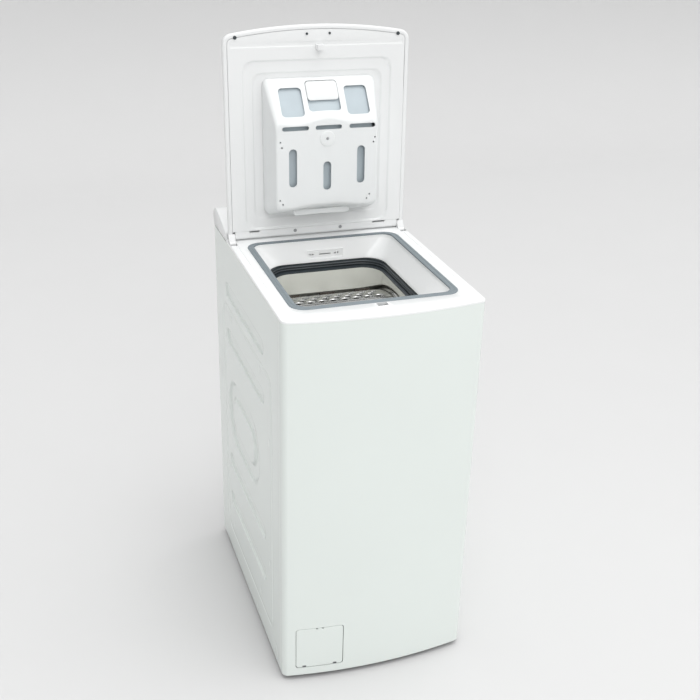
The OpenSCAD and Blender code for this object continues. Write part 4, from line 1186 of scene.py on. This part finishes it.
def rolled(part):
    """From (x, arc length, height) to the drum's cylinder; arc length runs from the top towards the back."""
    verts, faces = part
    out = []
    for u, v, h in verts:
        a, r = v / DRUM_R, DRUM_R + h
        out.append((u, DRUM_Y + r * math.sin(a), DRUM_Z + r * math.cos(a)))
    return out, faces


def along_x(profile, steps=180):
    """A solid of revolution about the drum's axis from (radius, x) points."""
    rings = [[(x, DRUM_Y + r * math.sin(a), DRUM_Z + r * math.cos(a))
              for a in np.linspace(0, 2 * math.pi, steps, endpoint=False)] for r, x in profile]
    return skin(rings, cap_start=True, cap_end=True)


def drum_end(s):
    """Rim and end wall with pressed rings, and the stub shaft."""
    shaft_r, shaft_end = 15, 172 if s > 0 else 152
    r = DRUM_R
    profile = [(0.01, 126.5), (60, 126.5), (64, 125), (120, 125), (124, 126.5), (200, 126.5), (204, 125),
               (r - 8, 125), (r - 1, 121), (r - 1, OPENING_X), (r, OPENING_X), (r, 116.5), (r - 0.7, 117.3),
               (r, 118.1), (r, 119.6), (r - 0.7, 120.4), (r, 121.2), (r + 1.1, 122.4), (r + 1.5, 123.4),
               (r + 1.5, 127), (r + 0.6, DRUM_HALF), (204, DRUM_HALF), (200, 127), (124, 127),
               (120, DRUM_HALF), (shaft_r, DRUM_HALF), (shaft_r, shaft_end - 1), (shaft_r - 1, shaft_end),
               (0.01, shaft_end)]
    return along_x([(r, s * x) for r, x in profile])


def lifter(angle):
    """Hollow-looking paddle on the inside of the drum, rounded over its crest."""
    section = softened([(-26, -1.0), (-10, -33), (10, -33), (26, -1.0)], 9, steps=4)
    stations = [(-121, 4), (-118, 1.2), (-114, 0), (114, 0), (118, 1.2), (121, 4)]
    rings = []
    for x, small in stations:
        ring = []
        for y, h in section:
            share = 1 - small / 20
            ring.append((x, y * share, DRUM_R - 1 + min(h, -0.6) * share))
        rings.append(ring)
    turn = Matrix.Translation((0, DRUM_Y, DRUM_Z)) @ Matrix.Rotation(math.radians(angle), 4, "X")
    return moved(skin(rings, cap_start=True, cap_end=True), turn)


def at_flap(s):
    return (Matrix.Translation((0, DRUM_Y, DRUM_Z)) @ Matrix.Rotation(math.radians(s * DOOR_ANGLE), 4, "X")
            @ Matrix.Translation((0, 0, DRUM_R + 2.5)))


def drum():
    arc_low = math.radians(DOOR_ANGLE + 0.3) * DRUM_R
    arc_high = math.radians(360 - DOOR_ANGLE - 0.3) * DRUM_R
    shape = rolled(perforated(OPENING_X, 9, arc_low, arc_high, 69))
    piece("drum_skin", shape, "drum", SLOTS["drum_shell"], ["drum_shell"], angle=50)
    shape = join([drum_end(s) for s in (-1, 1)] + [lifter(a) for a in (90, 180, 270)])
    piece("drum_ends_and_lifters", shape, "drum", SLOTS["drum_shell"], angle=40)
    brackets = []
    for s in (-1, 1):
        near, far = (-5, 2.2) if s > 0 else (-2.2, 5)
        for x in KNUCKLES:
            for t in (-1, 1):
                c = x + t * BRACKET_X
                brackets.append(moved(block(c - 3, c + 3, near, far, -3, 2.2), at_flap(s)))
    shape = join(brackets)
    piece("flap_brackets", shape, "drum", SLOTS["drum_shell"], surface="brown_steel", angle=40)


def drum_door(s, body, node):
    """Half of the drum's opening: a perforated flap with rolled knuckles on its hinge edge."""
    hinge_edge = s * math.radians(-DOOR_ANGLE + 0.2) * DRUM_R
    meeting_edge = s * math.radians(-0.25) * DRUM_R
    low, high = sorted((hinge_edge, meeting_edge))
    shape = rolled(perforated(OPENING_X - 1.5, 8, low, high, 5))
    flap = piece(node + "_skin", shape, body, SLOTS[node], [node], angle=50)
    cutters = [moved(block(x + t * BRACKET_X - 3.4, x + t * BRACKET_X + 3.4, -4.5, 4.5, -6, 6), at_flap(s))
               for x in KNUCKLES for t in (-1, 1)]
    if s > 0:
        cutters.append(moved(block(-22.4, 22.4, -6.4, 6.4, DRUM_R - 6, DRUM_R + 5), LATCH_SEAT))
    cut(flap, cutters)
    shade(flap, 50)
    lie = Matrix.Rotation(math.radians(90), 4, "Y")
    knuckle = turned([(0.01, -9.8), (KNUCKLE_R - 0.4, -9.8), (KNUCKLE_R, -9.4), (KNUCKLE_R, 9.4),
                      (KNUCKLE_R - 0.4, 9.8), (0.01, 9.8)], 24)
    pin = turned([(0.01, -16), (PIN_R, -16), (PIN_R, 16), (0.01, 16)], 16)
    near, far = (0, 7) if s > 0 else (-7, 0)
    parts = []
    for x in KNUCKLES:
        parts += [moved(part, at_flap(s) @ Matrix.Translation((x, 0, 0)) @ lie) for part in (knuckle, pin)]
        parts.append(moved(block(x - 9.8, x + 9.8, near, far, -2.9, -0.7), at_flap(s)))
    shape = join(parts)
    piece(node + "_knuckles", shape, body, SLOTS[node], surface="brown_steel", angle=40)


def drum_door_latch():
    """Press bar with a ribbed top."""
    shape = plate(rounded(-22, 22, -6, 6, 2.5, steps=5, straight=4), DRUM_R - 4, DRUM_R + 1.5, 0.5)
    bar = piece("latch_bar", shape, "flap_latch", SLOTS["drum_door_latch"],
                ["drum_door_latch"], surface="zinc_steel", place=LATCH_SEAT, angle=35)
    grooves = join([block(x - 0.6, x + 0.6, -4.5, 4.5, DRUM_R + 0.9, DRUM_R + 3) for x in range(-16, 17, 4)])
    cut(bar, [moved(grooves, LATCH_SEAT)])


drum()
drum_door(1, "drum_flap_front", "drum_door_front")
drum_door(-1, "drum_flap_rear", "drum_door_rear")
drum_door_latch()


# ---------------------------------------------------------------- springs and hose between cabinet and tub

SPRING_X, SPRING_DY = 166.0, 215.0
SPRING_R, WIRE_R, COILS = 9.0, 1.8, 13
HOSE_R, RIB = 17.6, 1.0


def tube(path, radius):
    """A closed tube along a path; radius is one value or one per point."""
    pts = np.array(path, float)
    along = np.gradient(pts, axis=0)
    along /= np.linalg.norm(along, axis=1, keepdims=True)
    side = np.cross(along[0], (0.3, 1, 0.2))
    rings = []
    for p, d, r in zip(pts, along, np.broadcast_to(radius, len(pts))):
        side = side - d * np.dot(side, d)
        side /= np.linalg.norm(side)
        other = np.cross(d, side)
        rings.append([tuple(p + r * (side * math.cos(a) + other * math.sin(a)))
                      for a in np.linspace(0, 2 * math.pi, 12, endpoint=False)])
    return skin(rings, cap_start=True, cap_end=True)


def suspension_springs():
    """Four tension springs, closely coiled."""
    low, high = (v[2] for v in span("suspension_springs"))
    low, high = low + WIRE_R, high - WIRE_R
    turns = np.linspace(0, COILS, COILS * 14 + 1)
    springs = []
    for x in (-SPRING_X, SPRING_X):
        for y in (DRUM_Y - SPRING_DY, DRUM_Y + SPRING_DY):
            springs.append(tube([(x + SPRING_R * math.cos(2 * math.pi * t),
                                  y + SPRING_R * math.sin(2 * math.pi * t),
                                  low + (high - low) * t / COILS) for t in turns], WIRE_R))
    bending("spring_coils", join(springs), SLOTS["suspension_springs"], "suspension_springs")


def sump_hose():
    """Ribbed rubber hose from the tub's sump down to the pump."""
    low, high = span("sump_hose")
    foot = np.array((low[0] + 18, low[1] + 18, low[2]))
    head = np.array((high[0] - 18, high[1] - 18, high[2]))
    reach = np.array((0, 0, 40.0))
    foot_on, head_off = foot + (0, 0, 6), head - (0, 0, 6)
    t = np.linspace(0, 1, 57)[:, None]
    curve = ((1 - t)**3 * foot_on + 3 * (1 - t)**2 * t * (foot_on + reach / 3)
             + 3 * (1 - t) * t**2 * (head_off - reach / 3) + t**3 * head_off)
    path = np.concatenate([[foot, foot + (0, 0, 3)], curve, [head - (0, 0, 3), head]])
    ribs = HOSE_R - RIB * 0.5 * (1 - np.cos(np.arange(len(path)) * math.pi / 2))
    ribs[:4] = ribs[-4:] = HOSE_R
    bending("sump_hose_rubber", tube(path, ribs), SLOTS["sump_hose"], "sump_hose")


suspension_springs()
sump_hose()


# ---------------------------------------------------------------- room, light and camera

CAMERA_AT = (-0.63916, -1.9256, 1.57205)
AZIMUTH, ELEVATION, ROLL = -19.08, 25.26, 1.47
LENS = 54.05


def camera():
    a, e, r = (math.radians(v) for v in (AZIMUTH, ELEVATION, ROLL))
    back = Vector((math.sin(a) * math.cos(e), -math.cos(a) * math.cos(e), math.sin(e)))
    right = (-back).cross(Vector((0, 0, 1))).normalized()
    up = back.cross(right)
    tilted_right = math.cos(r) * right + math.sin(r) * up
    tilted_up = -math.sin(r) * right + math.cos(r) * up
    turn = Matrix((tilted_right, tilted_up, back)).transposed().to_4x4()
    data = bpy.data.cameras.new("camera")
    data.sensor_width = 36
    data.lens = LENS
    obj = bpy.data.objects.new("camera", data)
    obj.matrix_world = Matrix.Translation(Vector(CAMERA_AT)) @ turn
    bpy.context.scene.collection.objects.link(obj)
    bpy.context.scene.camera = obj


def area_light(name, at_point, towards, size, power, colour=(1, 1, 1)):
    data = bpy.data.lights.new(name, "AREA")
    data.shape = "RECTANGLE"
    data.size, data.size_y = size
    data.energy = power
    data.color = colour
    obj = bpy.data.objects.new(name, data)
    obj.location = at_point
    obj.rotation_euler = (Vector(towards) - Vector(at_point)).to_track_quat("-Z", "Y").to_euler()
    bpy.context.scene.collection.objects.link(obj)


def sun(from_point, strength, spread):
    """Wide, soft main light; spread is its apparent size in degrees."""
    data = bpy.data.lights.new("main_light", "SUN")
    data.energy = strength
    data.angle = math.radians(spread)
    obj = bpy.data.objects.new("main_light", data)
    obj.rotation_euler = Vector(from_point).to_track_quat("Z", "Y").to_euler()
    bpy.context.scene.collection.objects.link(obj)


def floor():
    half, sweep, wall_y = 7.0, 1.2, 4.5
    section = [(-half, 0)] + [(wall_y - sweep + sweep * math.sin(a), sweep - sweep * math.cos(a))
                              for a in np.linspace(0, math.pi / 2, 13)] + [(wall_y, 6)]
    rows = [[(x, y, z) for y, z in section] for x in (-half, half)]
    verts, faces = skin(rows, closed=False)
    mesh = bpy.data.meshes.new("floor")
    mesh.from_pydata(verts, [], faces)
    mesh.shade_smooth()
    obj = bpy.data.objects.new("floor", mesh)
    bpy.context.scene.collection.objects.link(obj)
    mesh.materials.append(finish("floor_paper", (0.66, 0.66, 0.66), 0.8, shade_by=0.01, shade_size=0.3,
                                 grain=3e-5, grain_size=0.002))


def world():
    """An even white room, a little brighter overhead and dimmer on the left."""
    sky = bpy.data.worlds.new("studio")
    sky.use_nodes = True
    nodes, links = sky.node_tree.nodes, sky.node_tree.links
    ground = nodes["Background"]
    ground.inputs["Color"].default_value = (1, 1, 1, 1)
    where = nodes.new("ShaderNodeTexCoord")
    axes = nodes.new("ShaderNodeSeparateXYZ")
    links.new(where.outputs["Generated"], axes.inputs["Vector"])
    product = nodes.new("ShaderNodeMath")
    product.operation = "MULTIPLY"
    gradients = [("Z", 0, 1, 0.50, 1.75), ("X", -0.9, 0.1, 0.45, 1.0)]
    for slot, (axis, low, high, dim, bright) in enumerate(gradients):
        share = nodes.new("ShaderNodeMapRange")
        for name, value in (("From Min", low), ("From Max", high), ("To Min", dim), ("To Max", bright)):
            share.inputs[name].default_value = value
        links.new(axes.outputs[axis], share.inputs["Value"])
        links.new(share.outputs["Result"], product.inputs[slot])
    links.new(product.outputs["Value"], ground.inputs["Strength"])
    bpy.context.scene.world = sky
    bpy.context.scene.view_settings.view_transform = "Standard"


camera()
floor()
world()
sun((0.3, -0.5, 2.6), 0.5, 30)
area_light("lid_fill", (-0.3, -1.9, 2.3), (0, 0.1, 1.0), (1.2, 0.8), 9)
